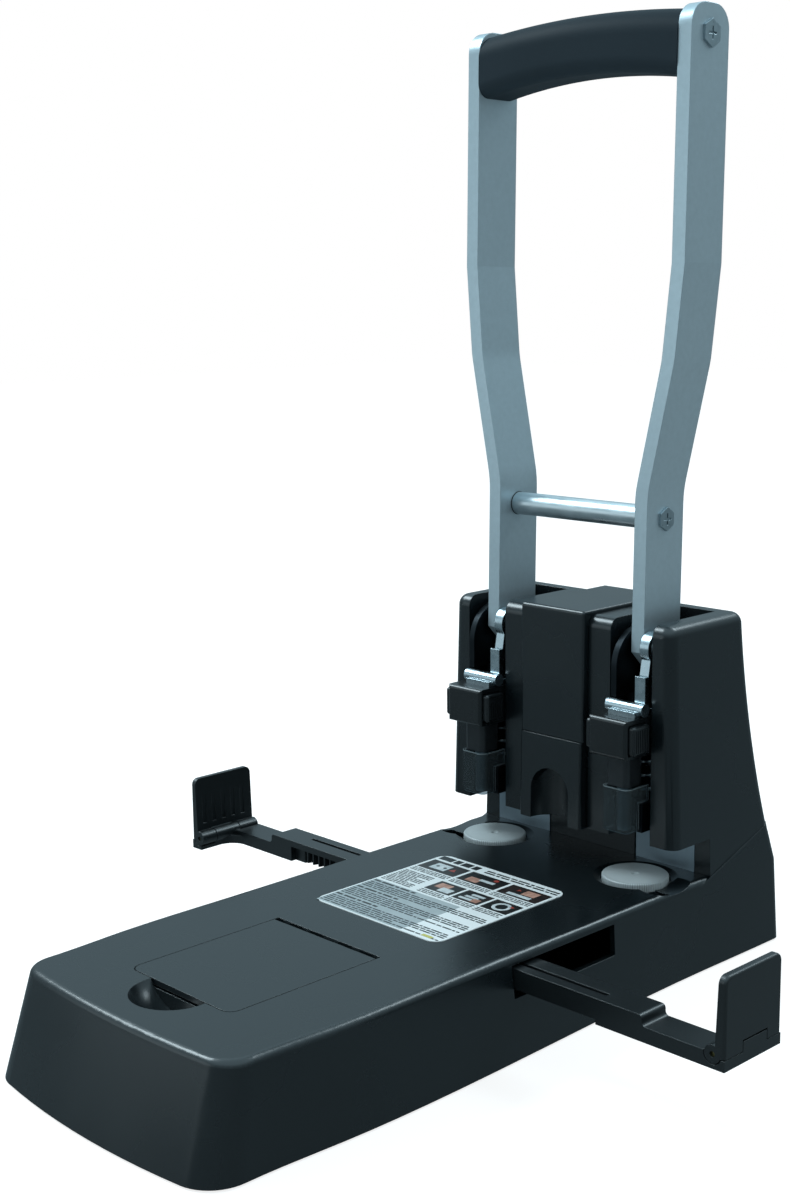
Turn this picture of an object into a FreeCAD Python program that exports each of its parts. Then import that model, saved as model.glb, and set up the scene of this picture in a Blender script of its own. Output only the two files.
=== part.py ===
import FreeCAD, Part
import math
import os

# Heavy-duty two-hole lever punch. Millimetres.
# X runs to the right, Y runs to the back, Z runs up.
# The origin is under the middle of the object, at the level of the feet.

V = FreeCAD.Vector

# ---- standard sizes --------------------------------------------------------
HOLE_PITCH = 80.0                    # distance between the two punched holes
PUNCH_X = HOLE_PITCH / 2.0

# ---- base ------------------------------------------------------------------
FOOT_PROUD = 0.8                     # the rubber feet stand this far below the rim
DECK_Z = 40.2
WALL = 2.4
DECK_T = 3.0
NOSE_Y = -159.6
REAR_Y = 161.5
NOSE_SLOPE = 13.8                    # the nose face leans back this much up to the deck
REAR_SLOPE = 2.0
SIDE_STATIONS = ((-100.0, 67.2, 62.9), (-45.0, 68.3, 63.1), (20.0, 66.5, 63.4), (98.0, 65.0, 63.9))
REAR_HALF = (65.8, 64.5)             # half width at the rim and at deck height
REAR_R = 5.0
CREASE_Z = 36.8                      # above this the sides and back lean in to meet the tower
DECK_EDGE_R = 3.0
SEAM_Y0 = 111.5                      # the seam under the tower starts here at deck height
SEAM_Y1 = 153.0
SEAM_Z1 = 54.3
DECK_UNDER = DECK_Z - DECK_T

# ---- tower -----------------------------------------------------------------
TOWER_Y = 86.5                       # front plane of flanks and wings
TOWER_Z = 148.5
WING_Z = 56.4                        # underside of the wings, the top of the paper throat
THROAT_Y = 111.0                     # the paper's stop faces
TOWER_HALF_LOW = 63.7
TOWER_HALF_TOP = 59.7
TOWER_REAR_TOP = 137.6
TOWER_REAR_SLOPE = 0.05              # the back leaves the top at this slope and then flares
TOWER_FLARE_R = 369.0
BRACKET_IN = 24.6                    # the steel brackets show in the throat between these widths
BRACKET_OUT = TOWER_HALF_TOP - WALL - 1.9
BRACKET_T = 3.0
SLOT_HALF = 10.8                     # half width of each slot around its punch
SLOT_BACK = 128.3
SLOT_WALL = 2.0
COVER_HALF = 17.4
COVER_GAP = 0.2
COVER_Y = 83.5
COVER_TOP = 150.3
COVER_SPLIT = 94.2
ROOF_END = TOWER_REAR_TOP - 8.0      # the slot for the cover strip ends here
LOWER_Y = 82.4
LOWER_BACK = 98.0
ARCH_R = 10.5
ARCH_TOP = 80.0

# ---- lever -----------------------------------------------------------------
PIVOT_Y = 110.05
PIVOT_Z = 127.5
SHAFT_R = 5.0
RUN_GAP = 0.05                       # radial running clearance
LEAN = 1.146                         # degrees the lever leans back at rest
LEVER_TURN = 78.0                    # degrees from rest to the end of the stroke
BAR_T = 6.3
BAR_FRONT = 19.67                    # bar faces in front of and behind the pivot
BAR_BACK = 4.13
BAR_TOP = 388.6
BAR_PATH = ((100.0, 0.0), (200.0, 0.0), (253.0, 11.4), (291.0, 15.0), (BAR_TOP + 20.0, 15.0))
BAR_END_Z = 129.0
HEEL_R = 13.0
CROSS_Z = 189.1
CROSS_R = 4.9
BAR_MID = (BAR_BACK - BAR_FRONT) / 2.0
GRIP_BOLT_Z = BAR_TOP - 11.3
GRIP_Z = BAR_TOP - 10.7
SCREW_R = 2.5
SCREW_HEAD = 1.2
GRIP_BOW = 4.0
GRIP_H = 23.6
GRIP_D = 25.0

# ---- punch drive -----------------------------------------------------------
CRANK_R = 16.2                       # crank pin distance from the pivot
CRANK_PIN_R = 4.0
STROKE = 2.0 * CRANK_R * math.sin(math.radians(LEVER_TURN / 2.0))
EYE_GAP = 0.62                       # play of the crank pin in the eye, up and down
EYE_WALL = 2.1
BAR_SIDE_GAP = 0.5
PUNCH_Y = 83.05
PUNCH_TIP_Z = 62.3
HOLE_R = 3.0
BLOCK_HALF = 9.8
BLOCK_Y = 71.4
BLOCK_BACK = 90.0
BLOCK_Z0 = 94.9
BLOCK_Z1 = 111.15
BLOCK_HOLLOW = 7.7                   # height of the block's hollow underside
COLLAR_HALF = 5.6
COLLAR_Y0 = 77.5
COLLAR_Y1 = 88.6
COLLAR_Z0 = 81.4
PIN_SHANK_R = 4.0
SPRING_X = 1.5
SPRING_Y = 98.5
GUARD_T = 1.0
GUARD_IN = 6.0
GUARD_Z0 = 62.2
GUARD_Z1 = 81.0
GUIDE_Y = 84.0
ROLL_R = 2.75
PAD_TRAVEL = 1.0
BUTTON_OUT = 3.0
BUTTON_Y0 = 73.2

# ---- cutting discs ---------------------------------------------------------
DISC_Y = 91.05
DISC_R = 14.0
DISC_TOP = 40.9
DISC_NOTCHES = 90
THUMB_X = 57.5                       # the dip where a finger reaches a disc's rim
THUMB_Y = 89.0
THUMB_R = 12.0
THUMB_DEPTH = 2.3
PLATE_Z0 = 33.2
PLATE_Z1 = 37.2
FEET = (("front_left", -50.0, -126.0), ("front_right", 50.0, -126.0),
        ("back_left", -50.0, 138.0), ("back_right", 50.0, 138.0))

# ---- paper guides ----------------------------------------------------------
PINION_Y = 16.41
MODULE = 1.2
TEETH = 24
PITCH_R = MODULE * TEETH / 2.0
TOOTH_PITCH = math.pi * MODULE
BACKLASH = 0.3
ARM_FRONT = -10.35                   # front face of the right arm
ARM_REACH = 157.8
ARM_Z0 = 25.7
ARM_Z1 = 35.5
ARM_Z_IN = 27.5                      # underside of the part that enters the base
ARM_STEP_X = ARM_REACH - 54.2
ARM_THICK_X = ARM_REACH - 34.6
ARM_THIN_Z = 31.5
RACK_TOP = 32.6                      # a plain flange covers the teeth
ARM_INNER_X = -10.0
ARM_TRAVEL = 80.0
GROOVE_X = (21.4, ARM_REACH - 53.9)
GROOVE_Y = -4.9
STOP_Y1 = 22.35
HINGE_X = ARM_REACH - 5.0
HINGE_Z = 30.9
KNUCKLE_R = 3.3
FLAP_X = ARM_REACH - 4.1
STEM_X = ARM_REACH - 6.3             # the arm's foot under the stop is this narrow
FLAP_Z1 = 59.1
TRAY_HALF = 38.0

# ---- storage lid -----------------------------------------------------------
LID_HALF = 28.85
LID_Y0 = -116.05
LID_Y1 = -47.0
LID_GAP = 0.4
LID_SLOT_Y = -45.25
LID_PIN_Y = -47.7
LID_PIN_Z = 37.9
LID_T = 2.2
SCOOP_Y = -118.3                     # finger dip in front of the lid
SCOOP_R = 16.0                       # its radius at deck level
SCOOP_BALL = 18.5


# ---- small shape helpers ---------------------------------------------------
def box(x0, x1, y0, y1, z0, z1):
    return Part.makeBox(x1 - x0, y1 - y0, z1 - z0, V(x0, y0, z0))


def rod_x(x0, x1, y, z, r):
    return Part.makeCylinder(r, x1 - x0, V(x0, y, z), V(1, 0, 0))


def rod_y(y0, y1, x, z, r):
    return Part.makeCylinder(r, y1 - y0, V(x, y0, z), V(0, 1, 0))


def rod_z(z0, z1, x, y, r):
    return Part.makeCylinder(r, z1 - z0, V(x, y, z0), V(0, 0, 1))


def prism(points, place, push):
    """Push a closed outline. A point of two numbers ends a line, one of four an arc."""
    edges = []
    here = place(*points[-1][-2:])
    for point in points:
        there = place(*point[-2:])
        if len(point) == 4:
            edges.append(Part.Arc(here, place(*point[:2]), there).toShape())
        else:
            edges.append(Part.makeLine(here, there))
        here = there
    return Part.Face(Part.Wire(edges)).extrude(push)


def prism_x(x0, x1, yz):
    return prism(yz, lambda y, z: V(x0, y, z), V(x1 - x0, 0, 0))


def prism_y(y0, y1, xz):
    return prism(xz, lambda x, z: V(x, y0, z), V(0, y1 - y0, 0))


def prism_z(z0, z1, xy):
    return prism(xy, lambda x, y: V(x, y, z0), V(0, 0, z1 - z0))


def round_box(x0, x1, y0, y1, z0, z1, r):
    """Box with its four upright edges rounded."""
    k = r * (1.0 - math.sqrt(0.5))
    path = [(x1 - r, y0), (x1 - k, y0 + k, x1, y0 + r), (x1, y1 - r), (x1 - k, y1 - k, x1 - r, y1)]
    path += [(x0 + r, y1), (x0 + k, y1 - k, x0, y1 - r), (x0, y0 + r), (x0 + k, y0 + k, x0 + r, y0)]
    return prism_z(z0, z1, path)


def soften(shape, r, want):
    """Round the edges whose middle point passes the test."""
    chosen = []
    for edge in shape.Edges:
        if edge.Length > 0.5 and want(edge.CenterOfMass, edge):
            chosen.append(edge)
    return shape.makeFillet(r, chosen)


def runs_along(edge, axis):
    a = edge.Vertexes[0].Point
    b = edge.Vertexes[-1].Point
    d = b - a
    return d.Length > 1e-6 and abs(d.dot(axis)) / d.Length > 0.999


def mirror_x(shape):
    return shape.mirror(V(0, 0, 0), V(1, 0, 0))


def half_turn(shape):
    """Turn about the pinion's axis: the two paper guides are the same part."""
    other = shape.copy()
    other.rotate(V(0, PINION_Y, 0), V(0, 0, 1), 180.0)
    return other


def moved(shape, x, y, z):
    other = shape.copy()
    other.translate(V(x, y, z))
    return other


def tilted(shape):
    """Lean a lever piece back to its rest angle."""
    other = shape.copy()
    other.rotate(V(0, PIVOT_Y, PIVOT_Z), V(1, 0, 0), -LEAN)
    return other


def save(name, shape):
    shape.exportStep("parts/" + name + ".step")


# ---- base ------------------------------------------------------------------
def blend(low, high, z):
    return low + (high - low) * z / DECK_Z


def outline(z, inset):
    """Plan outline of the base at height z, drawn in by the inset."""
    corner_y = blend(-140.1, -131.0, z)
    corner_r = blend(16.0, 12.2, z) - inset
    nose = NOSE_Y + NOSE_SLOPE * z / DECK_Z + inset
    rear = REAR_Y - REAR_SLOPE * z / DECK_Z - inset
    rear_half = blend(REAR_HALF[0], REAR_HALF[1], z) - inset
    rear_r = REAR_R - inset
    flanks = [(y, blend(low, high, z) - inset) for y, low, high in SIDE_STATIONS]
    if z > DECK_Z:
        rear = tower_rear(z) - inset
        rear_half = tower_half(z) - inset
        flanks[-1] = (SIDE_STATIONS[-1][0], rear_half + 0.3)

    def on_corner(deg):
        a = math.radians(deg)
        return V(49.0 + corner_r * math.cos(a), corner_y + corner_r * math.sin(a), z)

    turn = 8.0
    for _ in range(8):
        end = on_corner(turn - 90.0)
        turn = math.degrees(2.0 * math.atan2(end.y - nose, end.x))
    side = [on_corner(0.0)]
    side += [V(half, y, z) for y, half in flanks]
    side.append(V(rear_half, rear - rear_r, z))
    curve = Part.BSplineCurve()
    curve.interpolate(Points=side, InitialTangent=V(0, 1, 0), FinalTangent=V(0, 1, 0))
    k = rear_r * (1.0 - math.sqrt(0.5))
    start = on_corner(turn - 90.0)
    right = [Part.Arc(start, on_corner((turn - 90.0) / 2.0), on_corner(0.0)).toShape()]
    right.append(curve.toShape())
    rear_mid = V(rear_half - k, rear - k, z)
    rear_end = V(rear_half - rear_r, rear, z)
    right.append(Part.Arc(side[-1], rear_mid, rear_end).toShape())
    nose_arc = Part.Arc(V(-start.x, start.y, z), V(0, nose, z), start).toShape()
    back = Part.makeLine(rear_end, V(-rear_end.x, rear_end.y, z))
    left = [mirror_x(edge) for edge in right]
    return Part.Wire(Part.__sortEdges__([nose_arc] + right + [back] + left))


def base_block(z0, inset, deck, seam_drop):
    body = Part.makeLoft([outline(z, inset) for z in (z0, CREASE_Z, 60.0)], True, True)
    y_seam = SEAM_Y0 + inset
    top = SEAM_Z1 - seam_drop
    front = NOSE_Y - 10.0
    back = REAR_Y + 10.0
    profile = [(front, -5), (front, deck), (y_seam, deck), (SEAM_Y1 - inset, top), (back, top), (back, -5)]
    return body.common(prism_x(-90, 90, profile))


def base_outer():
    body = base_block(FOOT_PROUD, 0.0, DECK_Z, 0.0)
    return soften(body, DECK_EDGE_R, lambda c, e: abs(c.z - DECK_Z) < 0.01 and c.y < SEAM_Y0 - 1)


def arm_window():
    return box(50, 80, ARM_FRONT - 0.8, 48.05, 24.0, 36.6)


def finger_scoop(grow, z1):
    """Half-moon dip in the deck, cut off straight at the front of the lid."""
    rise = math.sqrt(SCOOP_BALL ** 2 - SCOOP_R ** 2)
    ball = Part.makeSphere(SCOOP_BALL + grow, V(0, SCOOP_Y, DECK_Z + rise))
    return ball.common(box(-30, 30, SCOOP_Y - 30, LID_Y0 - LID_GAP, DECK_Z - 15, z1))


def thumb_dip(side):
    """Shallow dip beside a cutting disc with a pocket that bares the disc's rim."""
    ball_r = (THUMB_R ** 2 + THUMB_DEPTH ** 2) / (2.0 * THUMB_DEPTH)
    dip = Part.makeSphere(ball_r, V(THUMB_X, THUMB_Y, DECK_Z + ball_r - THUMB_DEPTH))
    dip = dip.common(box(PUNCH_X, 80, DISC_Y - 20, DISC_Y + 20, 30, 60))
    pocket = round_box(THUMB_X - 8.0, THUMB_X + 4.2, THUMB_Y - 10.8, THUMB_Y - 2.5, 30, 60, 2.0)
    dip = dip.fuse(pocket)
    return dip if side > 0 else mirror_x(dip)


def lid_opening(grow):
    y1 = LID_SLOT_Y + grow
    hole = box(-LID_HALF - LID_GAP, LID_HALF + LID_GAP, LID_Y0 - LID_GAP, y1, 30, 60)
    return soften(hole, 4.6, lambda c, e: runs_along(e, V(0, 0, 1)) and c.y < LID_Y0)


def lid_pin():
    reach = LID_HALF + LID_GAP + 1.6
    return rod_x(-reach, reach, LID_PIN_Y, LID_PIN_Z, 1.2)


def base_shell():
    body = base_outer().cut(base_block(-2.0, WALL, DECK_UNDER, DECK_T))
    body = body.fuse(finger_scoop(2.2, DECK_Z - 1.0))
    body = body.cut(finger_scoop(0.0, DECK_Z + 1.0))
    body = body.cut(lid_opening(0.0))
    body = body.cut(arm_window()).cut(half_turn(arm_window()))
    for side in (-1, 1):
        body = body.cut(rod_z(30, 60, side * PUNCH_X, DISC_Y, DISC_R + 0.7))
        rim = V(side * PUNCH_X, DISC_Y, DECK_Z - 1.6)
        body = body.cut(Part.makeCone(DISC_R + 0.7, DISC_R + 3.6, 1.61, rim, V(0, 0, 1)))
        body = body.cut(thumb_dip(side))
        web = (side * (BRACKET_IN - 0.7), side * (BRACKET_OUT + 0.3))
        body = body.cut(box(min(web), max(web), THROAT_Y - 0.1, THROAT_Y + 5.0, 30, 60))
    open_half = BRACKET_OUT + 1.1
    body = body.cut(box(-open_half, open_half, THROAT_Y + WALL + 0.2, 148.0, 30, 60))
    return body.cut(lid_pin()).removeSplitter()


def base_plate():
    """Steel plate under the deck: it carries the discs and the frame brackets."""
    half = BRACKET_OUT + 0.6
    plate = box(-half, half, 72, 150, PLATE_Z0, PLATE_Z1)
    plate = soften(plate, 5.0, lambda c, e: runs_along(e, V(0, 0, 1)))
    for side in (-1, 1):
        plate = plate.cut(rod_z(30, 40, side * PUNCH_X, DISC_Y, DISC_R * 0.3 + RUN_GAP))
        plate = plate.cut(rod_z(30, 40, side * 50.0, 142.0, 2.2))
        window = (side * (THUMB_X - 7.0), side * (half + 1.0))
        plate = plate.cut(box(min(window), max(window), THUMB_Y - 12.0, THUMB_Y - 2.0, 30, 40))
    return plate


def bottom_plate():
    plate = base_block(-2.0, WALL + 0.2, DECK_UNDER, DECK_T)
    return plate.common(box(-90, 90, -170, 170, 1.6, 3.6))


def foot(x, y):
    pad = rod_z(0, 1.6, x, y, 9.0)
    return soften(pad, 0.6, lambda c, e: c.z < 0.01)


def cutting_disc(side):
    """Nylon disc with a knurled rim and a spigot that turns in the steel plate."""
    x = side * PUNCH_X
    disc = rod_z(PLATE_Z1 + 0.1, DISC_TOP, x, DISC_Y, DISC_R)
    disc = disc.fuse(rod_z(PLATE_Z0 - 0.8, PLATE_Z1 + 0.2, x, DISC_Y, DISC_R * 0.3))
    disc = disc.cut(Part.makeCone(0.4, 1.7, 0.9, V(x, DISC_Y, DISC_TOP - 0.9), V(0, 0, 1)))
    disc = soften(disc, 0.7, lambda c, e: c.z > DISC_TOP - 0.01 and e.Length > 60)
    groove = prism_z(30, 50, [(DISC_R - 0.3, 0.0), (DISC_R + 0.6, 0.6), (DISC_R + 0.6, -0.6)])
    cuts = []
    for i in range(DISC_NOTCHES):
        cut = moved(groove, x, DISC_Y, 0)
        cut.rotate(V(x, DISC_Y, 0), V(0, 0, 1), 360.0 * i / DISC_NOTCHES)
        cuts.append(cut)
    return disc.cut(Part.makeCompound(cuts)).removeSplitter()


def instruction_label():
    return round_box(-34.8, 34.8, -21.95, 53.95, DECK_Z, DECK_Z + 0.3, 5.0)


def storage_bin():
    out = box(-LID_HALF - LID_GAP - 1.8, LID_HALF + LID_GAP + 1.8, LID_Y0 - 2.2, LID_SLOT_Y + 2.0, 12, DECK_UNDER)
    out = soften(out, 4.0, lambda c, e: c.z < 12.01 or runs_along(e, V(0, 0, 1)))
    gap = box(-LID_HALF - LID_GAP, LID_HALF + LID_GAP, LID_Y0 + 2.0, LID_SLOT_Y, 13.8, 60)
    gap = soften(gap, 2.2, lambda c, e: c.z < 13.81 or runs_along(e, V(0, 0, 1)))
    body = out.cut(gap)
    for side in (-1, 1):
        x = side * (LID_HALF - 0.9)
        ledge = box(x - 1.4, x + 1.4, -108, -98, 33.5, DECK_Z - LID_T - 0.1)
        body = body.fuse(ledge)
    body = body.cut(finger_scoop(2.3, 60.0))
    return body.cut(lid_pin()).removeSplitter()


def storage_lid():
    """Thin lid with a lip on its underside and knuckles at the back."""
    lid = box(-LID_HALF, LID_HALF, LID_Y0, LID_Y1, DECK_Z - LID_T, DECK_Z)
    lid = soften(lid, 4.2, lambda c, e: runs_along(e, V(0, 0, 1)) and c.y < LID_Y0 + 1)
    lid = soften(lid, 0.9, lambda c, e: abs(c.y - LID_Y1) < 0.01 and c.z > DECK_Z - 0.01)
    lip = box(-26, 26, LID_Y0 + 5, -56, DECK_Z - LID_T - 1.4, DECK_Z - LID_T)
    lip = lip.cut(box(-24.6, 24.6, LID_Y0 + 6.4, -57.4, 30, 45))
    lid = lid.fuse(lip)
    for side in (-1, 1):
        for x in (8.0, 20.0):
            c = side * x
            lid = lid.fuse(rod_x(c - 3, c + 3, LID_PIN_Y, LID_PIN_Z, 2.1))
    lid = lid.cut(rod_x(-40, 40, LID_PIN_Y, LID_PIN_Z, 1.2 + RUN_GAP))
    return lid.removeSplitter()


# ---- paper guides ----------------------------------------------------------
def involute_point(base_r, t, turn):
    x = base_r * (math.cos(t) + t * math.sin(t))
    y = base_r * (math.sin(t) - t * math.cos(t))
    c = math.cos(turn)
    s = math.sin(turn)
    return (x * c - y * s, x * s + y * c)


def pinion():
    """Spur pinion with involute flanks, thinned by the backlash."""
    press = math.radians(20.0)
    base_r = PITCH_R * math.cos(press)
    tip_r = PITCH_R + MODULE * 0.95
    root_r = PITCH_R - MODULE * 1.25
    half = (TOOTH_PITCH / 2.0 - BACKLASH) / 2.0 / PITCH_R
    lean = math.tan(press) - press
    steps = 4
    tip_t = math.sqrt((tip_r / base_r) ** 2 - 1.0)
    points = []
    for k in range(TEETH):
        mid = 2.0 * math.pi * (k + 0.5) / TEETH + math.pi / 2.0
        turn = -(half + lean)
        low = [(root_r * math.cos(mid + turn), root_r * math.sin(mid + turn))]
        flank = low + [involute_point(base_r, tip_t * i / steps, mid + turn) for i in range(steps + 1)]
        points += flank
        c = math.cos(2.0 * mid)
        s = math.sin(2.0 * mid)
        points += [(x * c + y * s, x * s - y * c) for x, y in reversed(flank)]
    gear = prism_z(27.6, RACK_TOP - 0.4, [(x, y + PINION_Y) for x, y in points])
    gear = gear.fuse(rod_z(ARM_Z0, 35.2, 0, PINION_Y, 5.0))
    return gear.cut(rod_z(20, 40, 0, PINION_Y, 2.5 + RUN_GAP))


def rack_gaps():
    """The spaces between rack teeth, cut into the arm's pinion side."""
    reach = math.tan(math.radians(20.0))
    tip = PINION_Y - PITCH_R + MODULE
    root = PINION_Y - PITCH_R - 1.3 * MODULE
    pitch_y = PINION_Y - PITCH_R
    half = (TOOTH_PITCH / 2.0 + BACKLASH) / 2.0
    top = tip + 0.3
    wide = half + reach * (top - pitch_y)
    slim = half - reach * (pitch_y - root)
    gaps = []
    for k in range(-3, int(ARM_STEP_X / TOOTH_PITCH)):
        x = (k + 0.5) * TOOTH_PITCH
        shape = [(x - wide, top), (x - slim, root), (x + slim, root), (x + wide, top)]
        gaps.append(prism_z(20, 40, shape))
    return Part.makeCompound(gaps)


def guide_arm():
    """Right paper guide: rack, thick middle, thin outer part, foot and hinge barrel."""
    tip = PINION_Y - PITCH_R + MODULE
    arm = box(ARM_INNER_X, ARM_STEP_X, ARM_FRONT, tip, ARM_Z_IN, ARM_Z1)
    arm = arm.fuse(box(ARM_STEP_X - 1, ARM_THICK_X, ARM_FRONT, tip, ARM_Z0, ARM_Z1))
    arm = arm.fuse(box(ARM_THICK_X - 1, HINGE_X, ARM_FRONT, tip, ARM_Z0, ARM_THIN_Z))
    arm = arm.cut(rack_gaps().common(box(-30, ARM_STEP_X - 2, -20, 20, 20, RACK_TOP)))
    root = tip - 2.25 * MODULE
    arm = arm.cut(box(ARM_STEP_X - 2.5, ARM_STEP_X + 5.8, root, tip + 1, 20, RACK_TOP))
    foot_top = HINGE_Z - 1.2
    gusset = [(STEM_X - 7.5, tip), (STEM_X - 1.6, tip + 3.4, STEM_X, tip + 9.0), (STEM_X, STOP_Y1)]
    gusset += [(ARM_REACH, STOP_Y1), (ARM_REACH, ARM_FRONT), (STEM_X - 7.5, ARM_FRONT)]
    arm = arm.fuse(prism_z(ARM_Z0, foot_top, gusset))
    for y0, y1 in ((ARM_FRONT - 1, 0.35), (14.05, STOP_Y1 + 1)):
        arm = arm.cut(rod_y(y0, y1, HINGE_X, HINGE_Z, KNUCKLE_R + 0.35))
        arm = arm.cut(box(HINGE_X, ARM_REACH + 1, y0, y1, foot_top, 60))
    barrel = rod_y(0.35, 14.05, HINGE_X, HINGE_Z, KNUCKLE_R)
    barrel = barrel.fuse(box(HINGE_X, ARM_REACH, 0.35, 14.05, ARM_Z0, HINGE_Z + 2.5))
    barrel = barrel.fuse(box(STEM_X, ARM_REACH, 0.35, 14.05, ARM_Z0, HINGE_Z))
    arm = arm.fuse(barrel)
    arm = arm.cut(rod_y(-20, 40, HINGE_X, HINGE_Z, 1.0))
    arm = arm.cut(box(GROOVE_X[0], GROOVE_X[1], GROOVE_Y - 1.0, GROOVE_Y + 1.0, ARM_Z1 - 1.6, 50))
    arm = arm.removeSplitter()
    return soften(arm, 1.6, lambda c, e: runs_along(e, V(0, 1, 0)) and abs(c.x - ARM_THICK_X) < 0.01)


def paper_stop():
    """Folding stop of the right guide, ribbed on the side that meets the paper."""
    side = [(FLAP_X, HINGE_Z - 0.9), (ARM_REACH, HINGE_Z - 0.9), (ARM_REACH, FLAP_Z1), (FLAP_X + 1.2, FLAP_Z1)]
    flap = prism_y(ARM_FRONT, STOP_Y1, side)
    flap = soften(flap, 3.0, lambda c, e: runs_along(e, V(1, 0, 0)) and c.z > FLAP_Z1 - 1)
    flap = soften(flap, 1.1, lambda c, e: c.x > ARM_REACH - 0.3 and c.z > HINGE_Z)
    for y0, y1 in ((ARM_FRONT, 0.0), (14.4, STOP_Y1)):
        flap = flap.fuse(rod_y(y0, y1, HINGE_X, HINGE_Z, KNUCKLE_R))
    for i in range(5):
        y = ARM_FRONT + 4.6 + i * 5.6
        flap = flap.cut(box(FLAP_X - 1, FLAP_X + 0.9, y, y + 2.2, HINGE_Z + 6.5, FLAP_Z1 - 3.5))
    flap = flap.cut(box(HINGE_X - 6, ARM_REACH + 1, 0.0, 14.4, 20, HINGE_Z + 3.2))
    flap = flap.cut(rod_y(0.0, 14.4, HINGE_X, HINGE_Z, KNUCKLE_R + 0.45))
    flap = flap.cut(rod_y(-20, 40, HINGE_X, HINGE_Z, 1.0 + RUN_GAP))
    return flap.removeSplitter()


def stop_pin():
    return rod_y(ARM_FRONT + 0.9, STOP_Y1 - 0.9, HINGE_X, HINGE_Z, 1.0)


def guide_tray():
    """Tray under the deck that carries both racks, the axle and the two travel stops."""
    front = ARM_FRONT - 0.4
    back = 2.0 * PINION_Y - front
    tray = box(-TRAY_HALF, TRAY_HALF, front - 2.4, back + 2.4, 22.6, DECK_UNDER)
    tray = tray.cut(box(-60, 60, front, back, ARM_Z0 - 0.3, 50))
    rail_y = PINION_Y - PITCH_R - 5.6
    rail = box(-TRAY_HALF, 20.0, rail_y - 1.1, rail_y + 1.1, ARM_Z0 - 0.4, ARM_Z_IN - 0.2)
    tray = tray.fuse(rail).fuse(half_turn(rail))
    return tray.cut(rod_z(20, 30, 0, PINION_Y, 2.5)).removeSplitter()


def travel_stop():
    """Peg under the deck that runs in the right arm's groove."""
    return rod_z(ARM_Z1 - 1.2, DECK_UNDER, GROOVE_X[0] + 1.1, GROOVE_Y, 0.8)


# ---- tower -----------------------------------------------------------------
def tower_half(z):
    return TOWER_HALF_LOW + (TOWER_HALF_TOP - TOWER_HALF_LOW) * (z - DECK_Z) / (TOWER_Z - DECK_Z)


def tower_rear(z):
    drop = TOWER_Z - z
    return TOWER_REAR_TOP + TOWER_REAR_SLOPE * drop + drop * drop / (2.0 * TOWER_FLARE_R)


def tower_block(inset, top, front):
    """Flanks that lean in, and a back that flares out towards the base."""
    low = DECK_Z - 2.0
    mid = (low + top) / 2.0
    half_low = tower_half(low) - inset
    half_top = tower_half(top) - inset
    flanks = prism_y(front, REAR_Y + 20.0, [(-half_low, low), (half_low, low), (half_top, top), (-half_top, top)])
    path = [(front, low), (tower_rear(low) - inset, low)]
    path += [(tower_rear(mid) - inset, mid, tower_rear(top) - inset, top), (front, top)]
    return flanks.common(prism_x(-90, 90, path))


def tower_profile(inset):
    low = SEAM_Z1
    back = REAR_Y + 10.0
    seam = [(SEAM_Y0, DECK_Z), (SEAM_Y1, low), (back, low)]
    front = [(back, 160), (70, 160), (70, WING_Z + inset), (THROAT_Y + inset, WING_Z + inset)]
    if inset > 0:
        seam = [(back, 30)]
        front.append((THROAT_Y + inset, 30))
        return prism_x(-90, 90, seam + front)
    return prism_x(-90, 90, seam + front + [(THROAT_Y, DECK_Z)])


def slot_box(half, y0, y1, z0, z1, side):
    c = side * PUNCH_X
    return box(c - half, c + half, y0, y1, z0, z1)


def tower_outer():
    body = tower_block(0.0, TOWER_Z, TOWER_Y).common(tower_profile(0.0))
    body = soften(body, REAR_R, lambda c, e: c.z > 60 and c.y > TOWER_REAR_TOP + 1 and abs(c.x) > 50)
    front = TOWER_Y + 0.01
    return soften(body, 5.0, lambda c, e: abs(c.z - TOWER_Z) < 0.01 or (c.y < front and abs(c.x) > 50))


def tower_cover():
    outer = tower_outer()
    inner = tower_block(WALL, TOWER_Z - WALL, TOWER_Y + WALL).common(tower_profile(WALL))
    cover = outer.cut(inner)
    for side in (-1, 1):
        liner = slot_box(SLOT_HALF + SLOT_WALL, TOWER_Y + 1, SLOT_BACK + SLOT_WALL, WING_Z + 1, TOWER_Z - 1, side)
        keep = box(-90, 90, 0, THROAT_Y, 50, 160).fuse(box(-90, 90, 0, 140, 62, 160))
        cover = cover.fuse(liner.common(keep).common(outer))
    for side in (-1, 1):
        cover = cover.cut(slot_box(SLOT_HALF, 60, SLOT_BACK, 30, 160, side))
        cover = cover.cut(slot_box(SLOT_HALF, 110, SLOT_BACK + 6, 30, 114, side))
        web = (side * (BRACKET_IN - 0.8), side * (BRACKET_OUT + 0.2))
        cover = cover.cut(box(min(web), max(web), THROAT_Y - 0.2, THROAT_Y + BRACKET_T + 0.2, 30, 112.3))
    reach = BRACKET_OUT + 1.6
    cover = cover.cut(rod_x(-reach, reach, PIVOT_Y, PIVOT_Z, SHAFT_R + 0.6))
    gap = COVER_HALF + COVER_GAP
    cover = cover.cut(box(-gap, gap, 60, TOWER_Y + WALL + 0.5, WING_Z - 1, 160))
    cover = cover.cut(box(-gap, gap, 60, LOWER_BACK + 0.2, WING_Z - 1, 80))
    cover = cover.cut(box(-gap, gap, 60, ROOF_END, TOWER_Z - WALL - 1, 160))
    return cover.removeSplitter()


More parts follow.
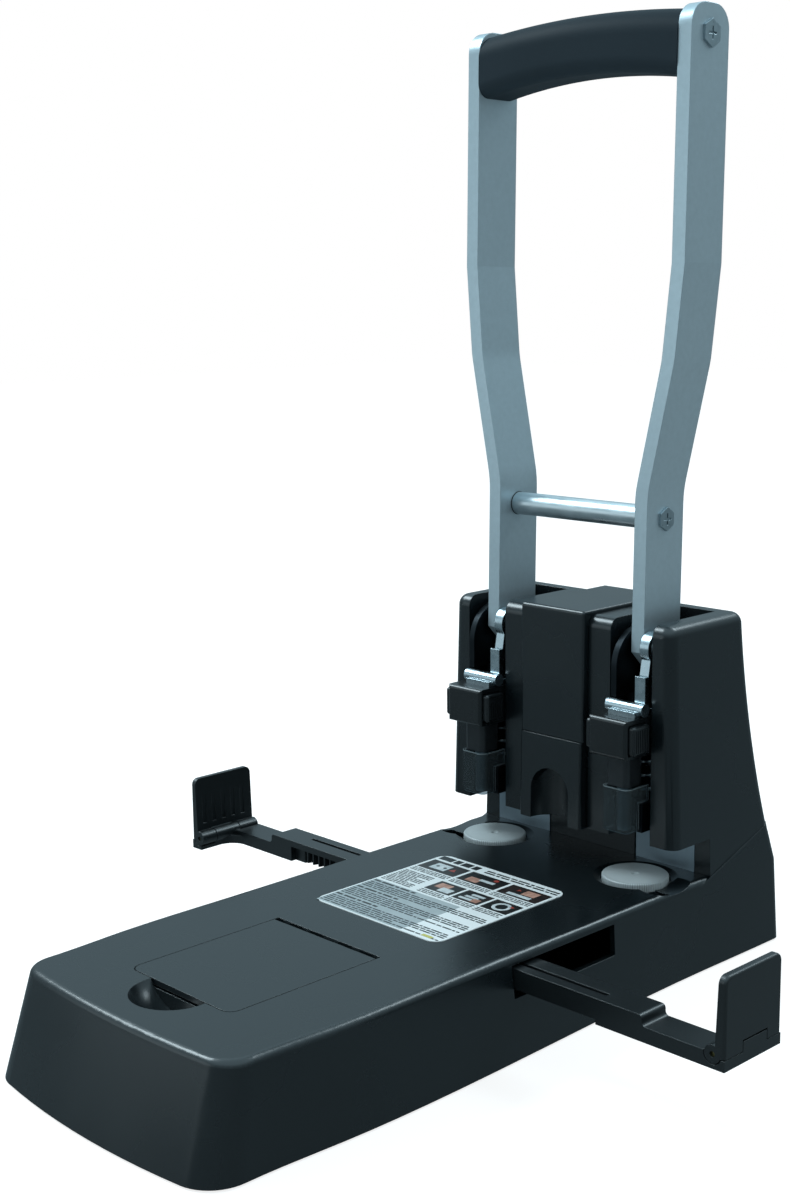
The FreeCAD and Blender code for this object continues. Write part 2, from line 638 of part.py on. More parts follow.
def upper_cover():
    """Strip that runs up the front of the column and back over the tower's top."""
    step = [(COVER_Y, COVER_SPLIT), (COVER_Y, COVER_TOP), (ROOF_END, COVER_TOP), (ROOF_END, COVER_TOP - 3.6)]
    step += [(COVER_Y + 3.0, COVER_TOP - 3.6), (COVER_Y + 3.0, COVER_SPLIT)]
    strip = prism_x(-COVER_HALF, COVER_HALF, step)
    lip = box(-COVER_HALF, COVER_HALF, ROOF_END - 1.0, TOWER_REAR_TOP + 0.9, TOWER_Z - 7.0, COVER_TOP)
    strip = strip.fuse(lip.cut(tower_outer()).cut(box(-60, 60, 60, ROOF_END, 100, TOWER_Z)))
    for side in (-1, 1):
        x = side * (COVER_HALF - 1.0)
        strip = strip.fuse(box(x - 1.0, x + 1.0, COVER_Y + 1, COVER_Y + 12, COVER_SPLIT, COVER_TOP - 1))
    strip = strip.removeSplitter()
    strip = soften(strip, 1.6, lambda c, e: c.y < COVER_Y + 0.01 and c.z > COVER_TOP - 0.01)
    return soften(strip, 1.2, lambda c, e: c.y < COVER_Y + 0.01 and abs(c.x) > COVER_HALF - 0.01)


def arch(grow, depth):
    r = ARCH_R + grow
    z = ARCH_TOP - ARCH_R
    y1 = LOWER_Y + depth + grow
    tool = rod_y(60, y1, 0, z, r).fuse(box(-r, r, 60, y1, 40, z))
    return tool.common(rod_z(40, 100, 0, LOWER_Y, r))


def lower_cover():
    """Lower front cover of the column with an arched finger recess."""
    half = COVER_HALF - 0.4
    top = COVER_SPLIT - 0.15
    front = [(LOWER_Y - 0.4, WING_Z), (LOWER_Y + 0.3, top)]
    block = prism_x(-half, half, front + [(LOWER_BACK, top), (LOWER_BACK, WING_Z)])
    block = soften(block, 1.2, lambda c, e: c.y < LOWER_Y + 1 and abs(c.x) > half - 0.01)
    room = box(-half + 2.2, half - 2.2, LOWER_Y + 2.6, 110, WING_Z + 2.2, top - 2.2)
    room = room.cut(arch(2.2, 12.0))
    return block.cut(room).cut(arch(0.0, 12.0)).removeSplitter()


def frame_bracket(side):
    """Folded steel bracket: web behind the throat and two cheeks for the pivot shaft."""
    lo = BRACKET_IN
    hi = BRACKET_OUT
    web = box(lo, hi, THROAT_Y, THROAT_Y + BRACKET_T, PLATE_Z1, 112.0)
    cheek = [(THROAT_Y, PLATE_Z1), (THROAT_Y, 60.0), (96.0, 64.0), (96.0, 132.0), (104.0, 140.0)]
    cheek += [(116.0, 140.0), (124.0, 132.0), (124.0, PLATE_Z1)]
    body = web.fuse(prism_x(lo, lo + 2.4, cheek)).fuse(prism_x(hi - 2.4, hi, cheek))
    body = body.fuse(box(lo, hi, THROAT_Y, 140.0, PLATE_Z1, PLATE_Z1 + 2.6))
    body = body.cut(rod_x(lo - 1, hi + 1, PIVOT_Y, PIVOT_Z, SHAFT_R))
    body = body.removeSplitter()
    return body if side > 0 else mirror_x(body)


def bearing_plate(side):
    """Round-topped dark plate beside each arm."""
    r = 15.5
    k = r * (1.0 - math.sqrt(0.5))
    top = 144.6
    shape = [(95.0, 84.0), (95.0, 117.2), (83.6, 117.2), (83.6, top - r), (83.6 + k, top - k, 83.6 + r, top)]
    shape += [(117.0, top), (124.0, top - 7.0), (124.0, 112.2), (111.0, 112.2), (111.0, 84.0)]
    c = side * PUNCH_X
    plate = prism_x(c - 8.0, c - 5.2, shape)
    return plate.cut(rod_x(-60, 60, PIVOT_Y, PIVOT_Z, SHAFT_R))


def pivot_shaft():
    return rod_x(-BRACKET_OUT, BRACKET_OUT, PIVOT_Y, PIVOT_Z, SHAFT_R)


def pin_guide(side):
    """Fixed guide behind and below each head; the collar runs in its channel."""
    c = side * PUNCH_X
    body = box(c - 8.6, c + 8.6, GUIDE_Y, 111.0, 62.0, 66.0)
    body = body.fuse(box(c - 8.6, c + 8.6, GUIDE_Y, 92.0, 62.0, 74.0))
    body = body.fuse(box(c - 8.6, c + 8.6, 107.0, 111.0, 62.0, 82.0))
    body = body.fuse(rod_z(66, 71, c + SPRING_X, SPRING_Y, 3.0))
    room = COLLAR_HALF + 0.4
    body = body.cut(round_box(c - room, c + room, COLLAR_Y0 - 0.4, COLLAR_Y1 + 0.4, 50, 90, 2.9))
    return body.removeSplitter()


def guard(side):
    """Clear U-shaped guard in front of the punch pin."""
    c = side * PUNCH_X
    out = GUARD_IN + GUARD_T
    body = round_box(c - out, c + out, COLLAR_Y0 - 0.4 - GUARD_T, 96, GUARD_Z0, GUARD_Z1, 3.2)
    body = soften(body, 1.4, lambda p, e: p.z < GUARD_Z0 + 0.01)
    body = body.cut(round_box(c - GUARD_IN, c + GUARD_IN, COLLAR_Y0 - 0.4, 99, 50, 90, 2.2))
    body = body.cut(box(c - 20, c + 20, GUIDE_Y, 99, 50, 74.2))
    return body.cut(box(c - 20, c + 20, 90.2, 99, 50, 90)).removeSplitter()


# ---- punch heads -----------------------------------------------------------
def crank_height():
    return PIVOT_Z + CRANK_R * math.sin(math.radians(LEVER_TURN / 2.0))


def crank_reach():
    return PIVOT_Y - CRANK_R * math.cos(math.radians(LEVER_TURN / 2.0))


def long_eye(x0, x1, r):
    """Obround along Y that spans the crank pin's sideways sweep."""
    near = PIVOT_Y - CRANK_R
    far = crank_reach()
    z = crank_height()
    body = rod_x(x0, x1, near, z, r).fuse(rod_x(x0, x1, far, z, r))
    return body.fuse(box(x0, x1, near, far, z - r, z + r))


def pusher_bracket(side):
    """Formed steel pusher: roll on the block, front tab and the slotted eye."""
    c = side * PUNCH_X
    x0 = c + BAR_T / 2.0 + BAR_SIDE_GAP
    x1 = x0 + 4.5
    hole = CRANK_PIN_R + EYE_GAP
    body = rod_x(c - 8.5, c + 10.3, PUNCH_Y, BLOCK_Z1 + ROLL_R, ROLL_R)
    body = body.fuse(box(c - 4.8, c + 8.8, 78.0, 92.0, BLOCK_Z1, BLOCK_Z1 + 2.4))
    body = body.fuse(box(x0, c + 8.8, 84.6, 87.2, BLOCK_Z1, 127.0))
    z = crank_height()
    rib = [(86.0, BLOCK_Z1), (86.0, 118.0), (89.5, z), (100.0, z), (103.0, 118.0), (103.0, 105.6), (90.2, 105.6)]
    rib.append((90.2, BLOCK_Z1))
    body = body.fuse(prism_x(x0, x1, rib)).fuse(long_eye(x0, x1, hole + EYE_WALL))
    body = body.fuse(box(c - 4.5, x1, 90.4, 105.0, 105.6, 108.0))
    body = body.cut(long_eye(x0 - 1, x1 + 1, hole))
    return body.removeSplitter()


def button_space(side, way, inner, outer, play):
    """Room of a squeeze button on one side of the block."""
    c = side * PUNCH_X
    x0 = c + way * (BLOCK_HALF - inner)
    x1 = c + way * (BLOCK_HALF + outer)
    z0 = BLOCK_Z0 + 1.7 - play
    z1 = BLOCK_Z1 - 2.2 + play
    return box(min(x0, x1), max(x0, x1), BUTTON_Y0 - play, 83.6 + play, z0, z1)


def squeeze_button(side, way):
    x_out = side * PUNCH_X + way * (BLOCK_HALF + BUTTON_OUT)
    pad = button_space(side, way, 0.6, BUTTON_OUT, 0.0)
    return soften(pad, 1.3, lambda p, e: abs(p.x - x_out) < 0.01 or runs_along(e, V(1, 0, 0)))


def punch_block(side):
    """Black block: hollow below so that it passes over the guard, with button pockets."""
    c = side * PUNCH_X
    body = box(c - BLOCK_HALF, c + BLOCK_HALF, BLOCK_Y, BLOCK_BACK, BLOCK_Z0, BLOCK_Z1)
    body = soften(body, 1.6, lambda p, e: p.y < BLOCK_Y + 0.01)
    room = GUARD_IN + GUARD_T + 0.5
    ceiling = BLOCK_Z0 + BLOCK_HOLLOW
    body = body.cut(round_box(c - room, c + room, COLLAR_Y0 - 1.9, 99, 80, ceiling, 3.4))
    body = body.cut(rod_z(ceiling - 1, ceiling + 1.9, c, PUNCH_Y, PIN_SHANK_R))
    for way in (-1, 1):
        body = body.cut(button_space(side, way, PAD_TRAVEL + 0.9, BUTTON_OUT + 1.0, 0.2))
    return body.removeSplitter()


def collar(side):
    c = side * PUNCH_X
    top = BLOCK_Z0 + BLOCK_HOLLOW
    body = round_box(c - COLLAR_HALF, c + COLLAR_HALF, COLLAR_Y0, COLLAR_Y1, COLLAR_Z0, top, 2.5)
    return body.cut(rod_z(50, 120, c, PUNCH_Y, PIN_SHANK_R))


def punch_pin(side):
    """Hollow ground punch: the paper chips rise through its bore."""
    c = side * PUNCH_X
    top = BLOCK_Z0 + BLOCK_HOLLOW + 1.9
    wall = [(HOLE_R - 0.15, PUNCH_TIP_Z), (HOLE_R, PUNCH_TIP_Z + 1.2), (HOLE_R, 84.0), (PIN_SHANK_R, 85.0)]
    wall += [(PIN_SHANK_R, top), (2.3, top), (2.3, PUNCH_TIP_Z + 2.0)]
    points = [V(c + r, PUNCH_Y, z) for r, z in wall]
    face = Part.Face(Part.makePolygon(points + [points[0]]))
    return face.revolve(V(c, PUNCH_Y, 0), V(0, 0, 1), 360.0)


def return_spring(side):
    """Compression spring that lifts the head after the stroke."""
    c = side * PUNCH_X
    wire_r = 0.65
    low = 66.0 + wire_r
    high = 105.6 - wire_r
    turns = 6.5
    helix = Part.makeHelix((high - low) / turns, high - low, 3.9)
    start = V(3.9, 0, 0)
    corners = [start + V(wire_r, 0, 0), start + V(0, 0, wire_r), start + V(-wire_r, 0, 0), start + V(0, 0, -wire_r)]
    section = Part.makePolygon(corners + [corners[0]])
    coil = Part.Wire(helix).makePipeShell([section], True, True)
    return moved(coil, c + SPRING_X, SPRING_Y, low)


# ---- lever -----------------------------------------------------------------
def bar_front_view(side):
    """Front view of one arm: straight, bent outwards, straight again."""
    inner = [(PUNCH_X + off - BAR_T / 2.0, z) for z, off in BAR_PATH]
    outer = [(PUNCH_X + off + BAR_T / 2.0, z) for z, off in BAR_PATH]
    body = prism_y(60, 150, inner + outer[::-1])
    bends = [z for z, off in BAR_PATH[1:-1]]
    body = soften(body, 45.0, lambda p, e: runs_along(e, V(0, 1, 0)) and min(abs(p.z - z) for z in bends) < 0.5)
    return body if side > 0 else mirror_x(body)


def lever_arm(side):
    """Flat bar with a rounded top, a cut-away lower corner and a round heel at the pivot."""
    y0 = PIVOT_Y - BAR_FRONT
    y1 = PIVOT_Y + BAR_BACK
    r = 9.0
    k = r * (1.0 - math.sqrt(0.5))
    t = BAR_TOP
    shape = [(y0, 134.8), (y0, t - r), (y0 + k, t - k, y0 + r, t), (y1 - r, t), (y1 - k, t - k, y1, t - r)]
    shape += [(y1, PIVOT_Z), (PIVOT_Y, BAR_END_Z), (y0 + 6.0, BAR_END_Z)]
    body = prism_x(-80, 80, shape).fuse(rod_x(-80, 80, PIVOT_Y, PIVOT_Z, HEEL_R))
    body = body.common(bar_front_view(side)).removeSplitter()
    body = body.cut(rod_x(-80, 80, PIVOT_Y, PIVOT_Z, SHAFT_R + RUN_GAP))
    for z, mid in ((CROSS_Z, BAR_MID), (GRIP_BOLT_Z, BAR_MID)):
        body = body.cut(rod_x(-80, 80, PIVOT_Y + mid, z, SCREW_R))
    body = tilted(body)
    return body.cut(rod_x(-80, 80, crank_reach(), crank_height(), CRANK_PIN_R))


def crank_pin(side):
    """Pin in the arm that drives the pusher's eye, with a retaining washer."""
    c = side * PUNCH_X
    y = crank_reach()
    z = crank_height()
    pin = rod_x(c - BAR_T / 2.0 - 1.1, c + 9.9, y, z, CRANK_PIN_R)
    pin = pin.fuse(rod_x(c - BAR_T / 2.0 - 1.1, c - BAR_T / 2.0, y, z, CRANK_PIN_R + 1.4))
    return pin.fuse(rod_x(c + 8.45, c + 9.9, y, z, CRANK_PIN_R + 1.8)).removeSplitter()


def cross_bar():
    half = PUNCH_X - BAR_T / 2.0
    body = rod_x(-half, half, PIVOT_Y + BAR_MID, CROSS_Z, CROSS_R)
    for side in (-1, 1):
        x = side * half
        body = body.cut(rod_x(min(x, x - side * 9), max(x, x - side * 9), PIVOT_Y + BAR_MID, CROSS_Z, SCREW_R))
    return tilted(body)


def hex_screw(side, z, offset, flats):
    """Hex-headed screw with a cross recess, through the arm from outside."""
    x = PUNCH_X + offset + BAR_T / 2.0
    y = PIVOT_Y + BAR_MID
    reach = flats / math.sqrt(3.0)
    corners = []
    for k in range(6):
        a = math.radians(60.0 * k + 30.0)
        corners.append((y + reach * math.cos(a), z + reach * math.sin(a)))
    head = prism_x(x, x + SCREW_HEAD, corners)
    for wide, tall in ((2.4, 0.45), (0.45, 2.4)):
        head = head.cut(box(x + 0.5, x + 2, y - wide, y + wide, z - tall, z + tall))
    body = tilted(head.fuse(rod_x(x - BAR_T - 8.0, x + 0.2, y, z, SCREW_R)).removeSplitter())
    return body if side > 0 else mirror_x(body)


def grip_ring(x, height, middle):
    """Rounded section of the grip at one place along its arch."""
    y0 = PIVOT_Y + BAR_MID - GRIP_D / 2.0
    y1 = y0 + GRIP_D
    z0 = middle - height / 2.0
    z1 = middle + height / 2.0
    r = 9.5
    q = 6.0
    k = r * (1.0 - math.sqrt(0.5))
    j = q * (1.0 - math.sqrt(0.5))
    spots = [V(x, y0 + q, z0), V(x, y1 - q, z0), V(x, y1, z0 + q), V(x, y1, z1 - r)]
    spots += [V(x, y1 - r, z1), V(x, y0 + r, z1), V(x, y0, z1 - r), V(x, y0, z0 + q)]
    edges = [Part.makeLine(spots[0], spots[1]), Part.Arc(spots[1], V(x, y1 - j, z0 + j), spots[2]).toShape()]
    edges += [Part.makeLine(spots[2], spots[3]), Part.Arc(spots[3], V(x, y1 - k, z1 - k), spots[4]).toShape()]
    edges += [Part.makeLine(spots[4], spots[5]), Part.Arc(spots[5], V(x, y0 + k, z1 - k), spots[6]).toShape()]
    edges += [Part.makeLine(spots[6], spots[7]), Part.Arc(spots[7], V(x, y0 + j, z0 + j), spots[0]).toShape()]
    return Part.Wire(edges)


def grip():
    """Arched grip, a little deeper where it meets the arms."""
    half = PUNCH_X + BAR_PATH[-1][1] - BAR_T / 2.0
    rings = []
    for f in (-1.0, -0.5, 0.0, 0.5, 1.0):
        rings.append(grip_ring(f * half, GRIP_H + 1.8 * f * f, GRIP_Z - GRIP_BOW * f * f))
    body = Part.makeLoft(rings, True, False)
    for side in (-1, 1):
        x = side * half
        tap = rod_x(min(x, x - side * 8.6), max(x, x - side * 8.6), PIVOT_Y + BAR_MID, GRIP_BOLT_Z, SCREW_R)
        body = body.cut(tap)
    return tilted(body)


def build():
    os.makedirs("parts", exist_ok=True)
    save("base_shell", base_shell())
    save("base_plate", base_plate())
    save("bottom_plate", bottom_plate())
    save("instruction_label", instruction_label())
    save("storage_bin", storage_bin())
    save("storage_lid", storage_lid())
    save("lid_pin", lid_pin())
    for name, x, y in FEET:
        save("foot_" + name, foot(x, y))
    arm = guide_arm()
    stop = paper_stop()
    pin = stop_pin()
    save("guide_arm_right", arm)
    save("guide_arm_left", half_turn(arm))
    save("paper_stop_right", stop)
    save("paper_stop_left", half_turn(stop))
    save("stop_pin_right", pin)
    save("stop_pin_left", half_turn(pin))
    save("guide_tray", guide_tray())
    save("travel_stop_right", travel_stop())
    save("travel_stop_left", half_turn(travel_stop()))
    save("pinion", pinion())
    save("pinion_axle", rod_z(22.6, DECK_UNDER, 0, PINION_Y, 2.5))
    save("tower_cover", tower_cover())
    save("upper_cover", upper_cover())
    save("lower_cover", lower_cover())
    save("pivot_shaft", pivot_shaft())
    save("cross_bar", cross_bar())
    save("grip", grip())
    for side, word in ((-1, "left"), (1, "right")):
        save("cutting_disc_" + word, cutting_disc(side))
        save("frame_bracket_" + word, frame_bracket(side))
        save("bearing_plate_" + word, bearing_plate(side))
        save("pin_guide_" + word, pin_guide(side))
        save("guard_" + word, guard(side))
        save("pusher_bracket_" + word, pusher_bracket(side))
        save("punch_block_" + word, punch_block(side))
        save("collar_" + word, collar(side))
        save("punch_pin_" + word, punch_pin(side))
        save("return_spring_" + word, return_spring(side))
        save("button_inner_" + word, squeeze_button(side, -side))
        save("button_outer_" + word, squeeze_button(side, side))
        save("lever_arm_" + word, lever_arm(side))
        save("crank_pin_" + word, crank_pin(side))
        save("cross_screw_" + word, hex_screw(side, CROSS_Z, 0.0, 8.5))
        save("grip_screw_" + word, hex_screw(side, GRIP_BOLT_Z, BAR_PATH[-1][1], 9.5))


build()
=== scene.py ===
import math

import bmesh
import bpy
from mathutils import Matrix, Vector


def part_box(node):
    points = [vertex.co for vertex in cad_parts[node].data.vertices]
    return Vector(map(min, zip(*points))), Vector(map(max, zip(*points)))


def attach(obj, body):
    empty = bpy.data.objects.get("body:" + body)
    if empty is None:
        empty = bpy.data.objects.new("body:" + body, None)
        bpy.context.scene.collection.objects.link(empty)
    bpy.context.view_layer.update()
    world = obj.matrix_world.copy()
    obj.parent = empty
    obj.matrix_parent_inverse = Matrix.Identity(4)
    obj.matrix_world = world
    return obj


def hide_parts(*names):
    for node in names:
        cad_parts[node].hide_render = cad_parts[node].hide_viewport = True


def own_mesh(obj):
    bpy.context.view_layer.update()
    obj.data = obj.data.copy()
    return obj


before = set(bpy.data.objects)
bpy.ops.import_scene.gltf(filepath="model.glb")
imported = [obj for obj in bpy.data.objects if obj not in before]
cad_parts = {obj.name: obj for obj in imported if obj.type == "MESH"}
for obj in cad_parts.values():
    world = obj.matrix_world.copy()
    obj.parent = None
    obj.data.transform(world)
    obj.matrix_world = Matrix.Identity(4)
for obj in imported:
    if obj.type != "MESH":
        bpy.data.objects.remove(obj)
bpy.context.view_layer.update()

bl_info = {
    "name": "Two-Hole Lever Punch",
    "version": (1, 0, 0),
    "blender": (4, 5, 0),
    "location": "3D View > Sidebar > Lever Punch",
    "description": "Finishes, printed label, trim and studio of a heavy-duty two-hole lever punch",
    "category": "Object",
}

MM = 0.001
SIDES = (("left", -1.0), ("right", 1.0))
# the cutting discs, in millimetres: their centres' x and y, and the radius to their rims
DISC_X = 40.0
DISC_Y = 91.05
DISC_R = 14.0
NOTCHES = 90


def linear(code):
    """sRGB hex to the linear values that shaders use."""
    values = []
    for i in (1, 3, 5):
        v = int(code[i:i + 2], 16) / 255.0
        values.append(v / 12.92 if v <= 0.04045 else ((v + 0.055) / 1.055) ** 2.4)
    return tuple(values)


def tint(words, code):
    return bpy.props.FloatVectorProperty(
        name=words, description="Colour of the " + words.lower(), subtype="COLOR",
        size=3, min=0.0, max=1.0, default=linear(code))


def amount(words, description, value, **more):
    return bpy.props.FloatProperty(name=words, description=description, default=value, **more)


def length(words, description, value):
    return amount(words, description, value, min=0.0, unit="LENGTH")


class PunchColours(bpy.types.PropertyGroup):
    """Colours of the punch's finishes."""
    shell: tint("Base and tower plastic", "#0E1518")
    block: tint("Head block plastic", "#0D1113")
    guides: tint("Paper guide plastic", "#101517")
    grip: tint("Grip", "#262F35")
    rubber: tint("Rubber feet", "#141414")
    disc: tint("Cutting discs", "#C2CBCD")
    paint: tint("Lever paint", "#A9B8BF")
    bar: tint("Cross bar plating", "#C8CFD2")
    pusher: tint("Pusher plating", "#ABB6BB")
    zinc: tint("Zinc plating", "#8D9AA3")
    screws: tint("Screw plating", "#AEB9BE")
    steel: tint("Ground steel", "#A9B1B5")
    black: tint("Black oxide", "#25292C")
    brass: tint("Hinge pins", "#857A50")
    film: tint("Label film", "#F2F8F9")
    ink: tint("Label ink", "#06080A")


class PunchSizes(bpy.types.PropertyGroup):
    """Sizes of the trim that dresses the punch."""
    ink_proud: length("Ink height", "How far the print stands above the label film", 0.04 * MM)
    rib_count: bpy.props.IntProperty(name="Button ribs", description="Ribs on each squeeze button",
                                     default=7, min=2)
    rib_proud: length("Rib height", "How far a rib stands out of its button", 0.28 * MM)
    # the rings at the cross bar's ends are painted shadow, dark where the bar meets the arms
    shade_ring: length("Washer thickness", "Thickness of the rings at the ends of the cross bar",
                   0.4 * MM)
    spring_wire: length("Spring wire", "Diameter of the wire of the return springs", 1.3 * MM)
    spring_turns: amount("Spring turns", "Turns of each return spring", 6.5, min=1.0)


class StudioSettings(bpy.types.PropertyGroup):
    """Floor, lights and camera."""
    floor: length("Floor", "Width of the floor", 8.0)
    floor_colour: tint("Floor", "#F4F6F6")
    cool: tint("Studio light", "#E0F2F9")
    shine: tint("Studio shine", "#C0E0ED")
    key_power: amount("Key light", "Power of the high softbox at left", 15.0, unit="POWER")
    rim_power: amount("Rim light", "Power of the high softbox behind", 6.5, unit="POWER")
    low_power: amount("Low light", "Power of the low softbox at front left", 1.4, unit="POWER")
    fill: amount("Fill", "Strength of the surrounding light", 0.62, min=0.0)
    low_shine: amount("Low shine", "Brightness that shiny surfaces see near the floor", 0.33)
    high_shine: amount("High shine", "Brightness that shiny surfaces see at a third of the way up",
                       0.78)
    top_shine: amount("Top shine", "What the sky above adds to that", 1.2)
    lens: amount("Lens", "Focal length", 52.19, min=10.0, unit="CAMERA")
    spot: bpy.props.FloatVectorProperty(
        name="Camera place", description="Where the camera stands", size=3, subtype="TRANSLATION",
        unit="LENGTH", default=(0.47294, -0.46082, 0.28601))
    aim: bpy.props.FloatVectorProperty(
        name="Camera turn", description="Yaw, pitch and roll of the camera", size=3,
        subtype="EULER",
        unit="ROTATION", default=[math.radians(a) for a in (46.21, -10.42, -0.71)])


# ---- shading -------------------------------------------------------------------
def node(tree, kind, feed, **settings):
    """Adds a node: feed holds an input's value, or the (node, output) that feeds it."""
    new = tree.nodes.new(kind)
    for key, value in settings.items():
        setattr(new, key, value)
    for key, value in feed.items():
        if isinstance(value, tuple) and isinstance(value[0], bpy.types.Node):
            tree.links.new(value[0].outputs[value[1]], new.inputs[key])
        else:
            new.inputs[key].default_value = value
    return new


def rgba(colour, factor=1.0):
    return tuple(min(1.0, c * factor) for c in colour) + (1.0,)


def blank(name):
    material = bpy.data.materials.new(name)
    material.use_nodes = True
    material.node_tree.nodes.clear()
    return material, material.node_tree


def cycles_in(size_mm):
    """Texture scale at which one feature is this many millimetres wide."""
    return 1.0 / (size_mm * MM)


def moulded_plastic(name, colour, rough, grain_mm=0.7, edge_mm=0.35, shine=0.5):
    """ABS out of a spark-eroded mould: a fine even grain that softens the shine."""
    material, t = blank(name)
    place = node(t, "ShaderNodeTexCoord", {})
    grain = node(t, "ShaderNodeTexNoise", {"Vector": (place, "Object"),
                                           "Scale": cycles_in(grain_mm), "Detail": 3.0})
    cloud = node(t, "ShaderNodeTexNoise", {"Vector": (place, "Object"), "Scale": cycles_in(45.0),
                                           "Detail": 4.0})
    shade = node(t, "ShaderNodeMix", {0: (cloud, "Fac"), 6: rgba(colour, 0.9),
                                      7: rgba(colour, 1.1)}, data_type="RGBA")
    dull = node(t, "ShaderNodeMapRange", {"Value": (cloud, "Fac"), "From Min": 0.3, "From Max": 0.7,
                                          "To Min": rough - 0.03, "To Max": rough + 0.04})
    edge = node(t, "ShaderNodeBevel", {"Radius": edge_mm * MM}, samples=4)
    bump = node(t, "ShaderNodeBump", {"Height": (grain, "Fac"), "Strength": 0.25,
                                      "Distance": 0.008 * MM, "Normal": (edge, "Normal")})
    shader = node(t, "ShaderNodeBsdfPrincipled", {
        "Base Color": (shade, 2), "Roughness": (dull, "Result"), "IOR": 1.53,
        "Normal": (bump, "Normal"), "Specular IOR Level": shine})
    node(t, "ShaderNodeOutputMaterial", {"Surface": (shader, "BSDF")})
    return material


def rubber(name, colour):
    """Moulded rubber: almost no shine, with a dusty bloom."""
    material, t = blank(name)
    place = node(t, "ShaderNodeTexCoord", {})
    bloom = node(t, "ShaderNodeTexNoise", {"Vector": (place, "Object"), "Scale": cycles_in(3.0),
                                           "Detail": 5.0})
    shade = node(t, "ShaderNodeMix", {0: (bloom, "Fac"), 6: rgba(colour, 0.8),
                                      7: rgba(colour, 1.5)}, data_type="RGBA")
    bump = node(t, "ShaderNodeBump", {"Height": (bloom, "Fac"), "Strength": 0.3,
                                      "Distance": 0.05 * MM})
    shader = node(t, "ShaderNodeBsdfPrincipled", {"Base Color": (shade, 2), "Roughness": 0.82,
                                                  "Normal": (bump, "Normal")})
    node(t, "ShaderNodeOutputMaterial", {"Surface": (shader, "BSDF")})
    return material


def turned_nylon(name, colour, side):
    """Nylon disc: faint rings from the mould's turned face, painted shade in the rim's notches,
    and a little light under the skin."""
    material, t = blank(name)
    place = node(t, "ShaderNodeTexCoord", {})
    centre = node(t, "ShaderNodeMapping", {"Vector": (place, "Object"),
                                           "Location": (-side * DISC_X * MM, -DISC_Y * MM, 0.0)})
    # rings 1.6 mm apart, as coarse as they have to be to show
    rings = node(t, "ShaderNodeTexWave", {"Vector": (centre, "Vector"),
                                          "Scale": cycles_in(1.6) / math.pi,
                                          "Distortion": 0.4, "Detail": 2.0}, wave_type="RINGS",
                                          rings_direction="Z")
    smear = node(t, "ShaderNodeTexNoise", {"Vector": (place, "Object"), "Scale": cycles_in(6.0),
                                           "Detail": 4.0})
    shade = node(t, "ShaderNodeMix", {0: (smear, "Fac"), 6: rgba(colour, 0.88),
                                      7: rgba(colour, 1.08)}, data_type="RGBA")
    # the notches are about 1 mm apart, and their painted shade fades out over the flat face
    split = node(t, "ShaderNodeSeparateXYZ", {0: (centre, "Vector")})
    angle = node(t, "ShaderNodeMath", {0: (split, "Y"), 1: (split, "X")}, operation="ARCTAN2")
    turns = node(t, "ShaderNodeMath", {0: (angle, "Value"), 1: float(NOTCHES)},
                 operation="MULTIPLY")
    teeth = node(t, "ShaderNodeMath", {0: (turns, "Value")}, operation="COSINE")
    flat = node(t, "ShaderNodeCombineXYZ", {0: (split, "X"), 1: (split, "Y")})
    out = node(t, "ShaderNodeVectorMath", {0: (flat, "Vector")}, operation="LENGTH")
    rim = node(t, "ShaderNodeMapRange", {"Value": (out, "Value"), "From Min": (DISC_R - 2.5) * MM,
                                         "From Max": (DISC_R - 0.6) * MM, "To Min": 0.08,
                                         "To Max": 1.0})
    knurl = node(t, "ShaderNodeMath", {0: (teeth, "Value"), 1: (rim, "Result")},
                 operation="MULTIPLY")
    groove = node(t, "ShaderNodeMapRange", {"Value": (knurl, "Value"), "From Min": 0.0,
                                            "From Max": 1.0, "To Min": 1.0, "To Max": 0.0})
    # painted shade: the notches darken to 0.62 of the disc's colour, less over the flat face
    notch_shaded = node(t, "ShaderNodeMix", {0: (groove, "Result"), 6: rgba(colour, 0.62), 7: (shade, 2)},
                data_type="RGBA")
    edge = node(t, "ShaderNodeBevel", {"Radius": 0.2 * MM}, samples=4)
    bump = node(t, "ShaderNodeBump", {"Height": (rings, "Fac"), "Strength": 0.22,
                                      "Distance": 0.03 * MM, "Normal": (edge, "Normal")})
    shader = node(t, "ShaderNodeBsdfPrincipled", {
        "Base Color": (notch_shaded, 2), "Roughness": 0.36, "IOR": 1.53, "Normal": (bump, "Normal"),
        "Subsurface Weight": 0.06, "Subsurface Radius": (0.8 * MM, 0.8 * MM, 0.8 * MM)})
    node(t, "ShaderNodeOutputMaterial", {"Surface": (shader, "BSDF")})
    return material


def metallic_paint(name, colour):
    """Silver stoving paint on bent flat bar: soft shine, fine flake and a slight orange peel."""
    material, t = blank(name)
    place = node(t, "ShaderNodeTexCoord", {})
    flake = node(t, "ShaderNodeTexVoronoi", {"Vector": (place, "Object"), "Scale": cycles_in(0.5)})
    peel = node(t, "ShaderNodeTexNoise", {"Vector": (place, "Object"), "Scale": cycles_in(2.2),
                                          "Detail": 2.0})
    fade = node(t, "ShaderNodeMix", {0: (peel, "Fac"), 6: rgba(colour, 0.93),
                                     7: rgba(colour, 1.07)}, data_type="RGBA")
    spark = node(t, "ShaderNodeMapRange", {"Value": (flake, "Distance"), "From Min": 0.0,
                                           "From Max": 0.7, "To Min": 0.30, "To Max": 0.38})
    edge = node(t, "ShaderNodeBevel", {"Radius": 0.5 * MM}, samples=4)
    bump = node(t, "ShaderNodeBump", {"Height": (peel, "Fac"), "Strength": 0.16,
                                      "Distance": 0.02 * MM, "Normal": (edge, "Normal")})
    shader = node(t, "ShaderNodeBsdfPrincipled", {
        "Base Color": (fade, 2), "Metallic": 0.55, "Roughness": (spark, "Result"),
        "Normal": (bump, "Normal")})
    node(t, "ShaderNodeOutputMaterial", {"Surface": (shader, "BSDF")})
    return material


